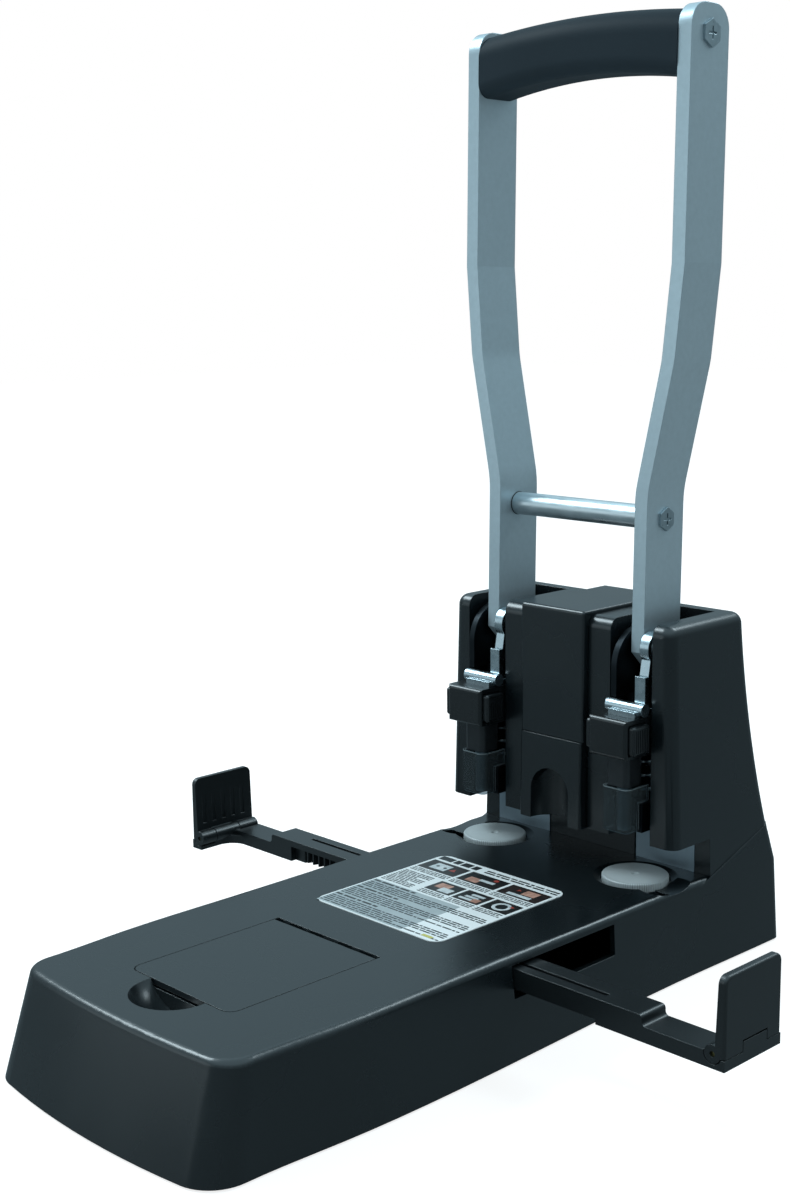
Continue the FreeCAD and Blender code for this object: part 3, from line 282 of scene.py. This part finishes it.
def plated_metal(name, colour, rough, spangle_mm, depth_mm, metallic=1.0):
    """Zinc or bright plating: metal with the cloudy spangle and small dents of sheet and bar."""
    material, t = blank(name)
    place = node(t, "ShaderNodeTexCoord", {})
    spangle = node(t, "ShaderNodeTexNoise", {"Vector": (place, "Object"),
                                             "Scale": cycles_in(spangle_mm), "Detail": 5.0})
    shade = node(t, "ShaderNodeMix", {0: (spangle, "Fac"), 6: rgba(colour, 0.8),
                                      7: rgba(colour, 1.15)}, data_type="RGBA")
    dull = node(t, "ShaderNodeMapRange", {"Value": (spangle, "Fac"), "From Min": 0.3,
                                          "From Max": 0.7,
                                          "To Min": rough * 0.8, "To Max": rough * 1.25})
    edge = node(t, "ShaderNodeBevel", {"Radius": 0.3 * MM}, samples=4)
    bump = node(t, "ShaderNodeBump", {"Height": (spangle, "Fac"), "Strength": 0.4,
                                      "Distance": depth_mm * MM, "Normal": (edge, "Normal")})
    shader = node(t, "ShaderNodeBsdfPrincipled", {
        "Base Color": (shade, 2), "Metallic": metallic, "Roughness": (dull, "Result"),
        "Normal": (bump, "Normal")})
    node(t, "ShaderNodeOutputMaterial", {"Surface": (shader, "BSDF")})
    return material


def ground_steel(name, colour, axis):
    """Ground or drawn steel: fine lines that run along the piece."""
    material, t = blank(name)
    place = node(t, "ShaderNodeTexCoord", {})
    pull = [cycles_in(0.35)] * 3
    pull[axis] = cycles_in(14.0)
    squeeze = node(t, "ShaderNodeMapping", {"Vector": (place, "Object"), "Scale": tuple(pull)})
    lines = node(t, "ShaderNodeTexNoise", {"Vector": (squeeze, "Vector"), "Scale": 1.0,
                                           "Detail": 3.0})
    shade = node(t, "ShaderNodeMix", {0: (lines, "Fac"), 6: rgba(colour, 0.78),
                                      7: rgba(colour, 1.12)}, data_type="RGBA")
    bump = node(t, "ShaderNodeBump", {"Height": (lines, "Fac"), "Strength": 0.25,
                                      "Distance": 0.01 * MM})
    shader = node(t, "ShaderNodeBsdfPrincipled", {
        "Base Color": (shade, 2), "Metallic": 1.0, "Roughness": 0.28, "Normal": (bump, "Normal")})
    node(t, "ShaderNodeOutputMaterial", {"Surface": (shader, "BSDF")})
    return material


def clear_polycarbonate(name):
    """Clear moulded guard: see-through walls, light gathered along the edges, faint flow marks."""
    material, t = blank(name)
    place = node(t, "ShaderNodeTexCoord", {})
    flow = node(t, "ShaderNodeTexNoise", {"Vector": (place, "Object"), "Scale": cycles_in(7.0),
                                          "Detail": 2.0})
    bump = node(t, "ShaderNodeBump", {"Height": (flow, "Fac"), "Strength": 0.2,
                                      "Distance": 0.05 * MM})
    flat = node(t, "ShaderNodeNewGeometry", {})
    soft = node(t, "ShaderNodeBevel", {"Radius": 0.55 * MM}, samples=8)
    away = node(t, "ShaderNodeVectorMath", {0: (flat, "Normal"), 1: (soft, "Normal")},
                operation="DISTANCE")
    rim = node(t, "ShaderNodeMapRange", {"Value": (away, "Value"), "From Min": 0.15,
                                         "From Max": 0.7, "To Min": 0.05, "To Max": 0.7})
    clear = node(t, "ShaderNodeBsdfTransparent", {"Color": rgba(linear("#AAB4B9"))})
    # a pale opaque surface mixed in along the edges: painted light for the glow of the clear edges
    painted_edge_light = node(t, "ShaderNodeBsdfPrincipled", {
        "Base Color": rgba(linear("#B9C9CE")), "Roughness": 0.18, "IOR": 1.58,
        "Normal": (bump, "Normal")})
    mixed = node(t, "ShaderNodeMixShader", {0: (rim, "Result"), 1: (clear, "BSDF"),
                                            2: (painted_edge_light, "BSDF")})
    node(t, "ShaderNodeOutputMaterial", {"Surface": (mixed, "Shader")})
    return material


def label_film(name, colour):
    """White polyester film: a smooth satin face with a trace of stretch."""
    material, t = blank(name)
    place = node(t, "ShaderNodeTexCoord", {})
    ripple = node(t, "ShaderNodeTexNoise", {"Vector": (place, "Object"), "Scale": cycles_in(18.0),
                                            "Detail": 2.0})
    shade = node(t, "ShaderNodeMix", {0: (ripple, "Fac"), 6: rgba(colour, 0.95),
                                      7: rgba(colour, 1.03)}, data_type="RGBA")
    bump = node(t, "ShaderNodeBump", {"Height": (ripple, "Fac"), "Strength": 0.15,
                                      "Distance": 0.05 * MM})
    shader = node(t, "ShaderNodeBsdfPrincipled", {
        "Base Color": (shade, 2), "Roughness": 0.32, "IOR": 1.5, "Normal": (bump, "Normal")})
    node(t, "ShaderNodeOutputMaterial", {"Surface": (shader, "BSDF")})
    return material


def printed_ink(name, colour, other, cloud_mm=4.0):
    """Offset ink: a soft change of tone under a halftone screen."""
    material, t = blank(name)
    place = node(t, "ShaderNodeTexCoord", {})
    tone = node(t, "ShaderNodeTexNoise", {"Vector": (place, "Object"), "Scale": cycles_in(cloud_mm),
                                          "Detail": 3.0})
    sharp = node(t, "ShaderNodeMapRange", {"Value": (tone, "Fac"), "From Min": 0.38,
                                           "From Max": 0.62})
    # the screen is drawn at 0.5 mm, three times as coarse as a real one
    dots = node(t, "ShaderNodeTexVoronoi", {"Vector": (place, "Object"), "Scale": cycles_in(0.5),
                                            "Randomness": 0.2})
    shade = node(t, "ShaderNodeMix", {0: (sharp, "Result"), 6: rgba(colour), 7: rgba(other)},
                 data_type="RGBA")
    dotted = node(t, "ShaderNodeMix", {0: (dots, "Distance"), 6: (shade, 2), 7: rgba(colour)},
                  data_type="RGBA")
    shader = node(t, "ShaderNodeBsdfPrincipled", {"Base Color": (dotted, 2), "Roughness": 0.38})
    node(t, "ShaderNodeOutputMaterial", {"Surface": (shader, "BSDF")})
    return material


def wear(names, material):
    for name in names:
        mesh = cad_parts[name].data
        mesh.materials.clear()
        mesh.materials.append(material)


def both(*stems):
    return [stem + "_" + word for stem in stems for word, side in SIDES]


# ---- modelling -----------------------------------------------------------------
def fresh(add, name, **where):
    """Adds a primitive with nothing else selected and settles its place into its mesh."""
    bpy.ops.object.select_all(action="DESELECT")
    add(**where)
    piece = bpy.context.active_object
    piece.name = name
    piece.data.name = name
    bpy.ops.object.transform_apply(location=True, rotation=True, scale=True)
    return piece


def slab(name, low, high, corner=0.0, segments=3):
    """Flat block between two corners in millimetres, its upright edges rounded."""
    low = Vector(low) * MM
    high = Vector(high) * MM
    piece = fresh(bpy.ops.mesh.primitive_cube_add, name, size=1.0, location=(low + high) / 2.0,
                  scale=high - low)
    if corner > 0.0:
        bpy.ops.object.mode_set(mode="EDIT")
        mesh = bmesh.from_edit_mesh(piece.data)
        for edge in mesh.edges:
            run = edge.verts[1].co - edge.verts[0].co
            edge.select_set(abs(run.z) > 0.9 * run.length)
        bmesh.update_edit_mesh(piece.data)
        bpy.ops.mesh.bevel(offset=corner * MM, segments=segments, affect="EDGES")
        bpy.ops.object.mode_set(mode="OBJECT")
    return piece


def again(piece, name, matrix):
    """A copy with its own mesh, moved to another place."""
    other = piece.copy()
    other.data = piece.data.copy()
    other.name = name
    other.data.name = name
    other.data.transform(matrix)
    bpy.context.collection.objects.link(other)
    return other


def shift(x, y, z=0.0):
    return Matrix.Translation(Vector((x, y, z)) * MM)


def dress(piece, material):
    piece.data.materials.clear()
    piece.data.materials.append(material)
    return piece


def joined(name, pieces):
    bpy.ops.object.select_all(action="DESELECT")
    for piece in pieces:
        piece.select_set(True)
    bpy.context.view_layer.objects.active = pieces[0]
    bpy.ops.object.join()
    whole = bpy.context.active_object
    whole.name = name
    whole.data.name = name
    return whole


class PUNCH_OT_plastics(bpy.types.Operator):
    """Finish the moulded plastic and rubber pieces"""
    bl_idname = "punch.plastics"
    bl_label = "Finish Plastics"

    def execute(self, context):
        colours = context.scene.punch_colours
        wear(["base_shell", "storage_lid", "storage_bin", "bottom_plate", "guide_tray"],
             moulded_plastic("abs_satin_base", colours.shell, 0.27))
        wear(["tower_cover", "upper_cover", "lower_cover"],
             moulded_plastic("abs_satin_tower", colours.shell, 0.26))
        heads = both("punch_block", "button_inner", "button_outer")
        wear(heads, moulded_plastic("abs_black_heads", colours.block, 0.27, edge_mm=0.3))
        guides = both("guide_arm", "paper_stop") + ["pinion"]
        wear(guides, moulded_plastic("acetal_guides", colours.guides, 0.32, grain_mm=0.5,
                                     edge_mm=0.4))
        wear(["grip"], moulded_plastic("grip_soft_coat", colours.grip, 0.5, shine=0.04))
        feet = ["foot_%s_%s" % (row, word) for row in ("front", "back") for word, side in SIDES]
        wear(feet, rubber("rubber_feet", colours.rubber))
        for word, side in SIDES:
            wear(["cutting_disc_" + word], turned_nylon("nylon_disc_" + word, colours.disc, side))
        wear(both("guard"), clear_polycarbonate("polycarbonate_guard"))
        return {"FINISHED"}


class PUNCH_OT_metals(bpy.types.Operator):
    """Finish the painted, plated and ground metal pieces"""
    bl_idname = "punch.metals"
    bl_label = "Finish Metals"

    def execute(self, context):
        colours = context.scene.punch_colours
        wear(both("lever_arm"), metallic_paint("stoved_silver_paint", colours.paint))
        wear(["cross_bar"], plated_metal("bright_plated_bar", colours.bar, 0.33, 9.0, 0.01))
        wear(both("cross_screw", "grip_screw"), plated_metal("zinc_plated_screws", colours.screws,
                                                             0.34, 2.0, 0.01))
        wear(["base_plate"] + both("frame_bracket"),
             plated_metal("zinc_plated_sheet", colours.zinc, 0.42, 11.0, 0.03))
        wear(both("bearing_plate"), plated_metal("black_oxide_sheet", colours.black, 0.38, 6.0,
                                                 0.03))
        wear(both("pusher_bracket"), plated_metal("bright_nickel_pusher", colours.pusher, 0.25, 3.5,
                                                  0.12))
        wear(both("collar"), plated_metal("blued_steel_collar", colours.black, 0.36, 3.0, 0.02,
                                          0.4))
        wear(both("pin_guide"), plated_metal("oiled_cast_steel", colours.black, 0.40, 1.6, 0.05))
        wear(both("punch_pin", "return_spring"), ground_steel("ground_punch_steel", colours.steel,
                                                              2))
        wear(["pivot_shaft", "lid_pin"] + both("crank_pin"),
             ground_steel("ground_shaft_steel", colours.steel, 0))
        wear(both("stop_pin"), ground_steel("brass_hinge_pins", colours.brass, 1))
        wear(["pinion_axle"] + both("travel_stop"),
             ground_steel("ground_peg_steel", colours.steel, 2))
        return {"FINISHED"}


# Shapes of the label's pictures, in millimetres from a picture's middle: first its patches as
# (ink, low x, low y, high x, high y, corner, lift), then its spots as (ink, x, y, radius, sides,
# turn, lift). A shape with more lift lies over the others.
PICTURES = (
    ((("pale", -6.0, -3.2, 2.6, 3.4, 0.4, 0.01),),
     (("dark", -3.6, 0.2, 0.8, 24, 0.0, 0.03), ("dark", 0.6, 0.2, 0.8, 24, 0.0, 0.03),
      ("red", 5.4, 0.0, 1.9, 3, 0.0, 0.02))),
    ((("skin", -7.0, -4.2, -0.4, 0.6, 1.6, 0.01), ("pale", -1.6, -1.2, 6.4, 0.9, 0.9, 0.02)),
     (("red", 4.6, 3.2, 1.2, 24, 0.0, 0.02),)),
    ((("pale", -6.4, -4.2, 6.0, -2.0, 0.5, 0.01), ("skin", -1.0, -1.2, 6.0, 3.8, 1.6, 0.02)),
     (("red", -4.0, 1.6, 1.3, 3, 0.5, 0.02),)),
    ((),
     (("pale", 0.0, 0.0, 4.1, 24, 0.0, 0.02), ("dark", 0.0, 0.0, 2.6, 24, 0.0, 0.03),
      ("red", 3.6, 2.2, 1.3, 3, 0.6, 0.04))),
    ((("pale", -5.0, -3.8, 2.0, -2.0, 0.5, 0.01), ("pale", -3.8, -1.2, 3.2, 0.6, 0.5, 0.01),
      ("pale", -2.6, 1.4, 4.4, 3.2, 0.5, 0.01), ("skin", 1.6, -4.2, 5.4, -0.6, 1.2, 0.02)),
     ()),
    ((("skin", -5.2, -1.4, 1.6, 3.8, 1.8, 0.01), ("pale", -1.2, -4.2, 5.2, 0.2, 0.4, 0.02)),
     ()),
)
# Small print, in millimetres: pitch of the lines, height of a mark and gap between marks
CAPTION = (1.35, 0.68, 0.5)
COLUMN = (1.42, 0.72, 0.5)
NOTES = (1.62, 0.86, 0.6)
NOTE_HEAD = (1.0, 1.25, 0.9)
SUBTITLE = (2.0, 1.1, 0.8)
# widths of the heading's bars, and their height
HEADING = (7.6, 3.4, 5.2, 3.4)
HEADING_HEIGHT = 4.0
# width and height of the pictures in the two rows
BIG_PICTURE = (21.2, 11.0)
SMALL_PICTURE = (14.2, 10.8)


class PUNCH_OT_label(bpy.types.Operator):
    """Print the instruction label: a heading of plain bars, small pictures, and rows of marks"""
    bl_idname = "punch.label"
    bl_label = "Print Label"

    def start(self, proud):
        """Sets the heights of the print and gives the corners of its area, in millimetres."""
        low, high = (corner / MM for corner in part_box("instruction_label"))
        self.under = high.z - 0.01
        self.top = high.z + proud / MM
        self.layers = {}
        margin = 1.4
        return low.x + margin, high.x - margin, low.y + margin, high.y - margin

    def patch(self, ink, ax, ay, bx, by, corner=0.0, lift=0.0):
        piece = slab("patch", (ax, ay, self.under), (bx, by, self.top + lift), corner)
        self.layers.setdefault(ink, []).append(piece)

    def spot(self, ink, x, y, r, sides, turn, lift):
        high = self.top + lift
        piece = fresh(bpy.ops.mesh.primitive_cylinder_add, "spot", vertices=sides, radius=r * MM,
                      depth=(high - self.under) * MM, rotation=(0.0, 0.0, turn),
                      location=Vector((x, y, (self.under + high) / 2.0)) * MM)
        self.layers.setdefault(ink, []).append(piece)

    def words(self, ink, ax, bx, top, lines, pitch, height, gap):
        """Rows of short marks that stand in for small print. Every fourth row is short, as at
        the end of a paragraph."""
        model = slab("word", (0.0, 0.0, self.under), (1.0, height, self.top))
        for line in range(lines):
            x = ax
            stop = bx if (line + 1) % 4 else ax + 0.6 * (bx - ax)
            step = line * 3 + int(abs(ax))
            while x < stop - 1.0:
                run = min(height * (1.7 + 1.25 * ((step * 7) % 5)), stop - x)
                turn = shift(x, top - height - pitch * line) @ Matrix.Diagonal((run, 1.0, 1.0, 1.0))
                self.layers.setdefault(ink, []).append(again(model, "word", turn))
                x += run + gap
                step += 1
        bpy.data.objects.remove(model)

    def picture(self, kind, ax, top, size):
        """A small picture: paper, head or tray drawn as plain shapes, with three lines of print
        below."""
        bx = ax + size[0]
        ay = top - size[1]
        mx = (ax + bx) / 2.0
        my = (ay + top) / 2.0
        self.patch("picture_a" if kind % 2 else "picture_b", ax, ay, bx, top, 0.5)
        patches, spots = PICTURES[kind]
        for ink, px, py, qx, qy, corner, lift in patches:
            self.patch(ink, mx + px, my + py, mx + qx, my + qy, corner, lift)
        for ink, x, y, radius, sides, turn, lift in spots:
            self.spot(ink, mx + x, my + y, radius, sides, turn, lift)
        self.words("grey", ax, bx, ay - 1.0, 3, *CAPTION)

    def execute(self, context):
        colours = context.scene.punch_colours
        wear(["instruction_label"], label_film("polyester_film", colours.film))
        x0, x1, y0, y1 = self.start(context.scene.punch_sizes.ink_proud)
        x = x0
        for run in HEADING:
            self.patch("black", x, y1 - 0.4 - HEADING_HEIGHT, x + run, y1 - 0.4, 0.9)
            x += run + 1.0
        self.words("black", x + 3.0, x1, y1 - 1.0, 2, *SUBTITLE)
        for i in range(3):
            self.picture(i, x0 + i * (BIG_PICTURE[0] + 1.6), y1 - 6.2, BIG_PICTURE)
        low_row = y1 - 23.6
        for i in range(3):
            self.picture(3 + i, x1 - SMALL_PICTURE[0] - i * (SMALL_PICTURE[0] + 1.4), low_row,
                         SMALL_PICTURE)
        self.words("grey", x0, x1 - 48.2, low_row, 11, *COLUMN)
        y = y1 - 41.2
        self.patch("tint", x0 - 0.6, y0 - 0.6, x0 + 0.72 * (x1 - x0), y + 0.8, 3.6, -0.02)
        for lines in (4, 5, 5):
            self.words("black", x0, x0 + 24.0, y, 1, *NOTE_HEAD)
            self.words("grey", x0, x1, y - 2.6, lines, *NOTES)
            y -= 3.4 + NOTES[0] * lines
        self.patch("yellow", x1 - 9.0, y0 + 0.6, x1 - 3.4, y0 + 2.4, 0.6, 0.01)
        inks = {
            "black": printed_ink("ink_black", colours.ink, linear("#101416")),
            "dark": printed_ink("ink_dark", linear("#0B0D0E"), linear("#1A1E20")),
            "grey": printed_ink("ink_grey", linear("#1B2124"), linear("#343B3F")),
            "pale": printed_ink("ink_pale", linear("#D8E0E2"), linear("#A9B6BA"), 3.0),
            "skin": printed_ink("ink_skin", linear("#C79A88"), linear("#8A5A4B"), 3.0),
            "red": printed_ink("ink_red", linear("#9A3A30"), linear("#B04A3C"), 3.0),
            "tint": printed_ink("ink_grey_panel", linear("#A3AFB2"), linear("#B4BFC2"), 12.0),
            "yellow": printed_ink("ink_yellow", linear("#C9C46A"), linear("#B8B055"), 3.0),
            "picture_a": printed_ink("ink_picture_a", linear("#050607"), linear("#241F1D"), 6.0),
            "picture_b": printed_ink("ink_picture_b", linear("#08090A"), linear("#33221D"), 7.0),
        }
        for ink, pieces in self.layers.items():
            print_layer = dress(joined("label_ink_" + ink, pieces), inks[ink])
            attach(print_layer, "base")
        return {"FINISHED"}


class PUNCH_OT_buttons(bpy.types.Operator):
    """Put the grip ribs on the squeeze buttons"""
    bl_idname = "punch.buttons"
    bl_label = "Rib Buttons"

    def execute(self, context):
        sizes = context.scene.punch_sizes
        skin = moulded_plastic("abs_black_ribs", context.scene.punch_colours.block, 0.36,
                               edge_mm=0.15)
        # in millimetres: bare button before the first rib, bare button above and below the ribs,
        # and how deep a rib's root sits in the button
        end, inset, sunk = 1.2, 1.6, 0.1
        # share of the pitch that is rib
        share = 0.56
        for word, side in SIDES:
            for post in ("inner", "outer"):
                low, high = (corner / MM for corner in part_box("button_%s_%s" % (post, word)))
                way = side if post == "outer" else -side
                face = high.x if way > 0 else low.x
                root = face - way * sunk
                crest = face + way * sizes.rib_proud / MM
                pitch = (high.y - low.y - 2.0 * end) / sizes.rib_count
                ribs = []
                for k in range(sizes.rib_count):
                    y = low.y + end + pitch * (k + (1.0 - share) / 2.0)
                    ribs.append(slab("rib", (min(root, crest), y, low.z + inset),
                                     (max(root, crest), y + share * pitch, high.z - inset), 0.12,
                                     2))
                ribs = joined("button_ribs_%s_%s" % (post, word), ribs)
                dress(ribs, skin)
                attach(ribs, "press_%s_%s" % (post, word))
        return {"FINISHED"}


class PUNCH_OT_shade_rings(bpy.types.Operator):
    """Put dark rings at the ends of the cross bar, as painted shadow where the bar meets the arms
    """
    bl_idname = "punch.washers"
    bl_label = "Fit Washers"

    def execute(self, context):
        thick = context.scene.punch_sizes.shade_ring
        # dark rubber rings: painted shadow where the bar enters the arms
        skin = rubber("black_washer", context.scene.punch_colours.rubber)
        low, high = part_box("cross_bar")
        middle = (low + high) / 2.0
        radius = (high.z - low.z) / 2.0
        for word, side in SIDES:
            end = high.x if side > 0 else low.x
            ring = fresh(bpy.ops.mesh.primitive_torus_add, "bar_washer_" + word,
                         major_segments=40, minor_segments=10,
                         major_radius=radius, minor_radius=thick / 2.0,
                         rotation=(0.0, math.pi / 2.0, 0.0),
                         location=(end - side * thick / 2.0, middle.y, middle.z))
            bpy.ops.object.shade_smooth()
            dress(ring, skin)
            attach(ring, "lever")
        return {"FINISHED"}


class PUNCH_OT_springs(bpy.types.Operator):
    """Wind the return springs"""
    bl_idname = "punch.springs"
    bl_label = "Wind Springs"

    def execute(self, context):
        sizes = context.scene.punch_sizes
        steps_a_turn = 24
        skin = ground_steel("drawn_spring_steel", context.scene.punch_colours.steel, 2)
        for word, side in SIDES:
            low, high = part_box("return_spring_" + word)
            wire = sizes.spring_wire / 2.0
            coil = (high.x - low.x) / 2.0 - wire
            middle = (low + high) / 2.0
            piece = fresh(bpy.ops.mesh.primitive_circle_add, "coil_spring_" + word,
                          vertices=12, radius=wire,
                          rotation=(math.pi / 2.0, 0.0, 0.0), location=(coil, 0.0, 0.0))
            wind = piece.modifiers.new("wind", "SCREW")
            wind.angle = sizes.spring_turns * math.tau
            wind.screw_offset = high.z - low.z - 2.0 * wire
            wind.steps = wind.render_steps = round(sizes.spring_turns * steps_a_turn)
            wind.use_smooth_shade = True
            bpy.ops.object.modifier_apply(modifier="wind")
            bpy.ops.object.mode_set(mode="EDIT")
            bpy.ops.mesh.select_all(action="SELECT")
            bpy.ops.mesh.fill_holes(sides=0)
            bpy.ops.mesh.select_all(action="SELECT")
            bpy.ops.mesh.normals_make_consistent(inside=False)
            bpy.ops.object.mode_set(mode="OBJECT")
            piece.location = (middle.x, middle.y, low.z + wire)
            bpy.ops.object.transform_apply(location=True, rotation=True, scale=True)
            dress(piece, skin)
            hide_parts("return_spring_" + word)
            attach(piece, "base")
            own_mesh(piece)
        return {"FINISHED"}


# Softboxes, in metres: name, the setting that holds the power, width and height, and place
SOFTBOXES = (
    ("key_softbox", "key_power", (0.6, 0.6), (-1.05, -0.28, 1.25)),
    ("rim_softbox", "rim_power", (0.5, 0.5), (0.30, 1.15, 1.30)),
    ("low_softbox", "low_power", (0.9, 0.5), (-0.60, -1.00, 0.30)),
)
LIT_SPOT = (0.0, 0.0, 0.1)


class PUNCH_OT_studio(bpy.types.Operator):
    """Build the floor, the lights and the camera"""
    bl_idname = "punch.studio"
    bl_label = "Build Studio"

    def rays(self, t):
        """Two masks: the camera's own view, and rays that left a shiny surface."""
        path = node(t, "ShaderNodeLightPath", {})
        seen = node(t, "ShaderNodeMath", {0: (path, "Is Camera Ray"),
                                          1: (path, "Is Transmission Ray")}, operation="MAXIMUM")
        return (seen, 0), (path, "Is Glossy Ray")

    def floor(self, settings):
        ground = fresh(bpy.ops.mesh.primitive_plane_add, "studio_floor", size=settings.floor)
        material, t = blank("white_card")
        seen, shiny = self.rays(t)
        place = node(t, "ShaderNodeTexCoord", {})
        tooth = node(t, "ShaderNodeTexNoise", {"Vector": (place, "Object"),
                                               "Scale": cycles_in(1.5)})
        bump = node(t, "ShaderNodeBump", {"Height": (tooth, "Fac"), "Strength": 0.05,
                                          "Distance": 0.05 * MM})
        card = node(t, "ShaderNodeBsdfDiffuse", {"Color": rgba(settings.floor_colour),
                                                 "Normal": (bump, "Normal")})
        faint = node(t, "ShaderNodeBsdfDiffuse", {"Color": rgba(settings.floor_colour, 0.5),
                                                  "Normal": (bump, "Normal")})
        pale = node(t, "ShaderNodeEmission", {"Color": (1.0, 1.0, 1.0, 1.0), "Strength": 0.8})
        lift = node(t, "ShaderNodeAddShader", {0: (faint, "BSDF"), 1: (pale, "Emission")})
        mirrored = node(t, "ShaderNodeEmission", {"Color": rgba(settings.shine),
                                                  "Strength": settings.low_shine})
        plain = node(t, "ShaderNodeMixShader", {0: shiny, 1: (card, "BSDF"),
                                                2: (mirrored, "Emission")})
        mix = node(t, "ShaderNodeMixShader", {0: seen, 1: (plain, "Shader"), 2: (lift, "Shader")})
        node(t, "ShaderNodeOutputMaterial", {"Surface": (mix, "Shader")})
        ground.data.materials.append(material)

    def surround(self, scene, settings):
        world = bpy.data.worlds.new("white_surround")
        world.use_nodes = True
        scene.world = world
        t = world.node_tree
        t.nodes.clear()
        seen, shiny = self.rays(t)
        way = node(t, "ShaderNodeTexCoord", {})
        split = node(t, "ShaderNodeSeparateXYZ", {0: (way, "Generated")})
        low = node(t, "ShaderNodeMapRange", {"Value": (split, "Z"), "From Min": 0.06,
                                             "From Max": 0.38, "To Min": settings.low_shine,
                                             "To Max": settings.high_shine})
        top = node(t, "ShaderNodeMapRange", {"Value": (split, "Z"), "From Min": 0.45,
                                             "From Max": 0.8,
                                             "To Min": 0.0, "To Max": settings.top_shine})
        shine = node(t, "ShaderNodeMath", {0: (low, "Result"), 1: (top, "Result")}, operation="ADD")
        gloss = node(t, "ShaderNodeBackground", {"Color": rgba(settings.shine),
                                                 "Strength": (shine, 0)})
        fill = node(t, "ShaderNodeBackground", {"Color": rgba(settings.cool),
                                                "Strength": settings.fill})
        studio = node(t, "ShaderNodeMixShader", {0: shiny, 1: (fill, "Background"),
                                                 2: (gloss, "Background")})
        white = node(t, "ShaderNodeBackground", {"Color": (1.0, 1.0, 1.0, 1.0), "Strength": 1.0})
        mix = node(t, "ShaderNodeMixShader", {0: seen, 1: (studio, "Shader"),
                                              2: (white, "Background")})
        node(t, "ShaderNodeOutputWorld", {"Surface": (mix, "Shader")})

    def softbox(self, name, colour, power, size, spot, target):
        bpy.ops.object.select_all(action="DESELECT")
        bpy.ops.object.light_add(type="AREA", location=spot)
        lamp = bpy.context.active_object
        lamp.name = name
        lamp.data.energy = power
        lamp.data.color = colour
        lamp.data.shape = "RECTANGLE"
        lamp.data.size, lamp.data.size_y = size
        lamp.rotation_euler = (Vector(target) - Vector(spot)).to_track_quat("-Z", "Y").to_euler()

    def camera(self, scene, settings):
        bpy.ops.object.select_all(action="DESELECT")
        bpy.ops.object.camera_add(location=settings.spot)
        eye = bpy.context.active_object
        yaw, pitch, roll = settings.aim
        ahead = Vector((-math.sin(yaw) * math.cos(pitch), math.cos(yaw) * math.cos(pitch),
                        math.sin(pitch)))
        right = Vector((math.cos(yaw), math.sin(yaw), 0.0))
        up = right.cross(ahead)
        across = right * math.cos(roll) + up * math.sin(roll)
        upward = up * math.cos(roll) - right * math.sin(roll)
        eye.rotation_euler = Matrix((across, upward, -ahead)).transposed().to_euler()
        eye.data.lens = settings.lens
        eye.data.sensor_width = 36.0
        eye.data.sensor_fit = "AUTO"
        eye.data.clip_start = 0.01
        scene.camera = eye

    def execute(self, context):
        settings = context.scene.punch_studio
        scene = context.scene
        self.floor(settings)
        self.surround(scene, settings)
        for name, power, size, spot in SOFTBOXES:
            self.softbox(name, settings.cool, getattr(settings, power), size, spot, LIT_SPOT)
        self.camera(scene, settings)
        scene.view_settings.view_transform = "Standard"
        return {"FINISHED"}


class PUNCH_PT_panel(bpy.types.Panel):
    """Lists the steps that finish the punch"""
    bl_idname = "PUNCH_PT_panel"
    bl_label = "Lever Punch"
    bl_space_type = "VIEW_3D"
    bl_region_type = "UI"
    bl_category = "Lever Punch"

    def draw(self, context):
        for step in STEPS:
            self.layout.operator(step.bl_idname)


GROUPS = (("punch_colours", PunchColours), ("punch_sizes", PunchSizes),
          ("punch_studio", StudioSettings))
STEPS = (PUNCH_OT_plastics, PUNCH_OT_metals, PUNCH_OT_label, PUNCH_OT_buttons, PUNCH_OT_shade_rings,
         PUNCH_OT_springs,
         PUNCH_OT_studio)


def register():
    for name, group in GROUPS:
        bpy.utils.register_class(group)
        setattr(bpy.types.Scene, name, bpy.props.PointerProperty(type=group))
    for step in STEPS + (PUNCH_PT_panel,):
        bpy.utils.register_class(step)


def unregister():
    for step in reversed(STEPS + (PUNCH_PT_panel,)):
        bpy.utils.unregister_class(step)
    for name, group in reversed(GROUPS):
        delattr(bpy.types.Scene, name)
        bpy.utils.unregister_class(group)


def main():
    register()
    bpy.ops.punch.plastics()
    bpy.ops.punch.metals()
    bpy.ops.punch.label()
    bpy.ops.punch.buttons()
    bpy.ops.punch.washers()
    bpy.ops.punch.springs()
    bpy.ops.punch.studio()


if __name__ == "__main__":
    main()
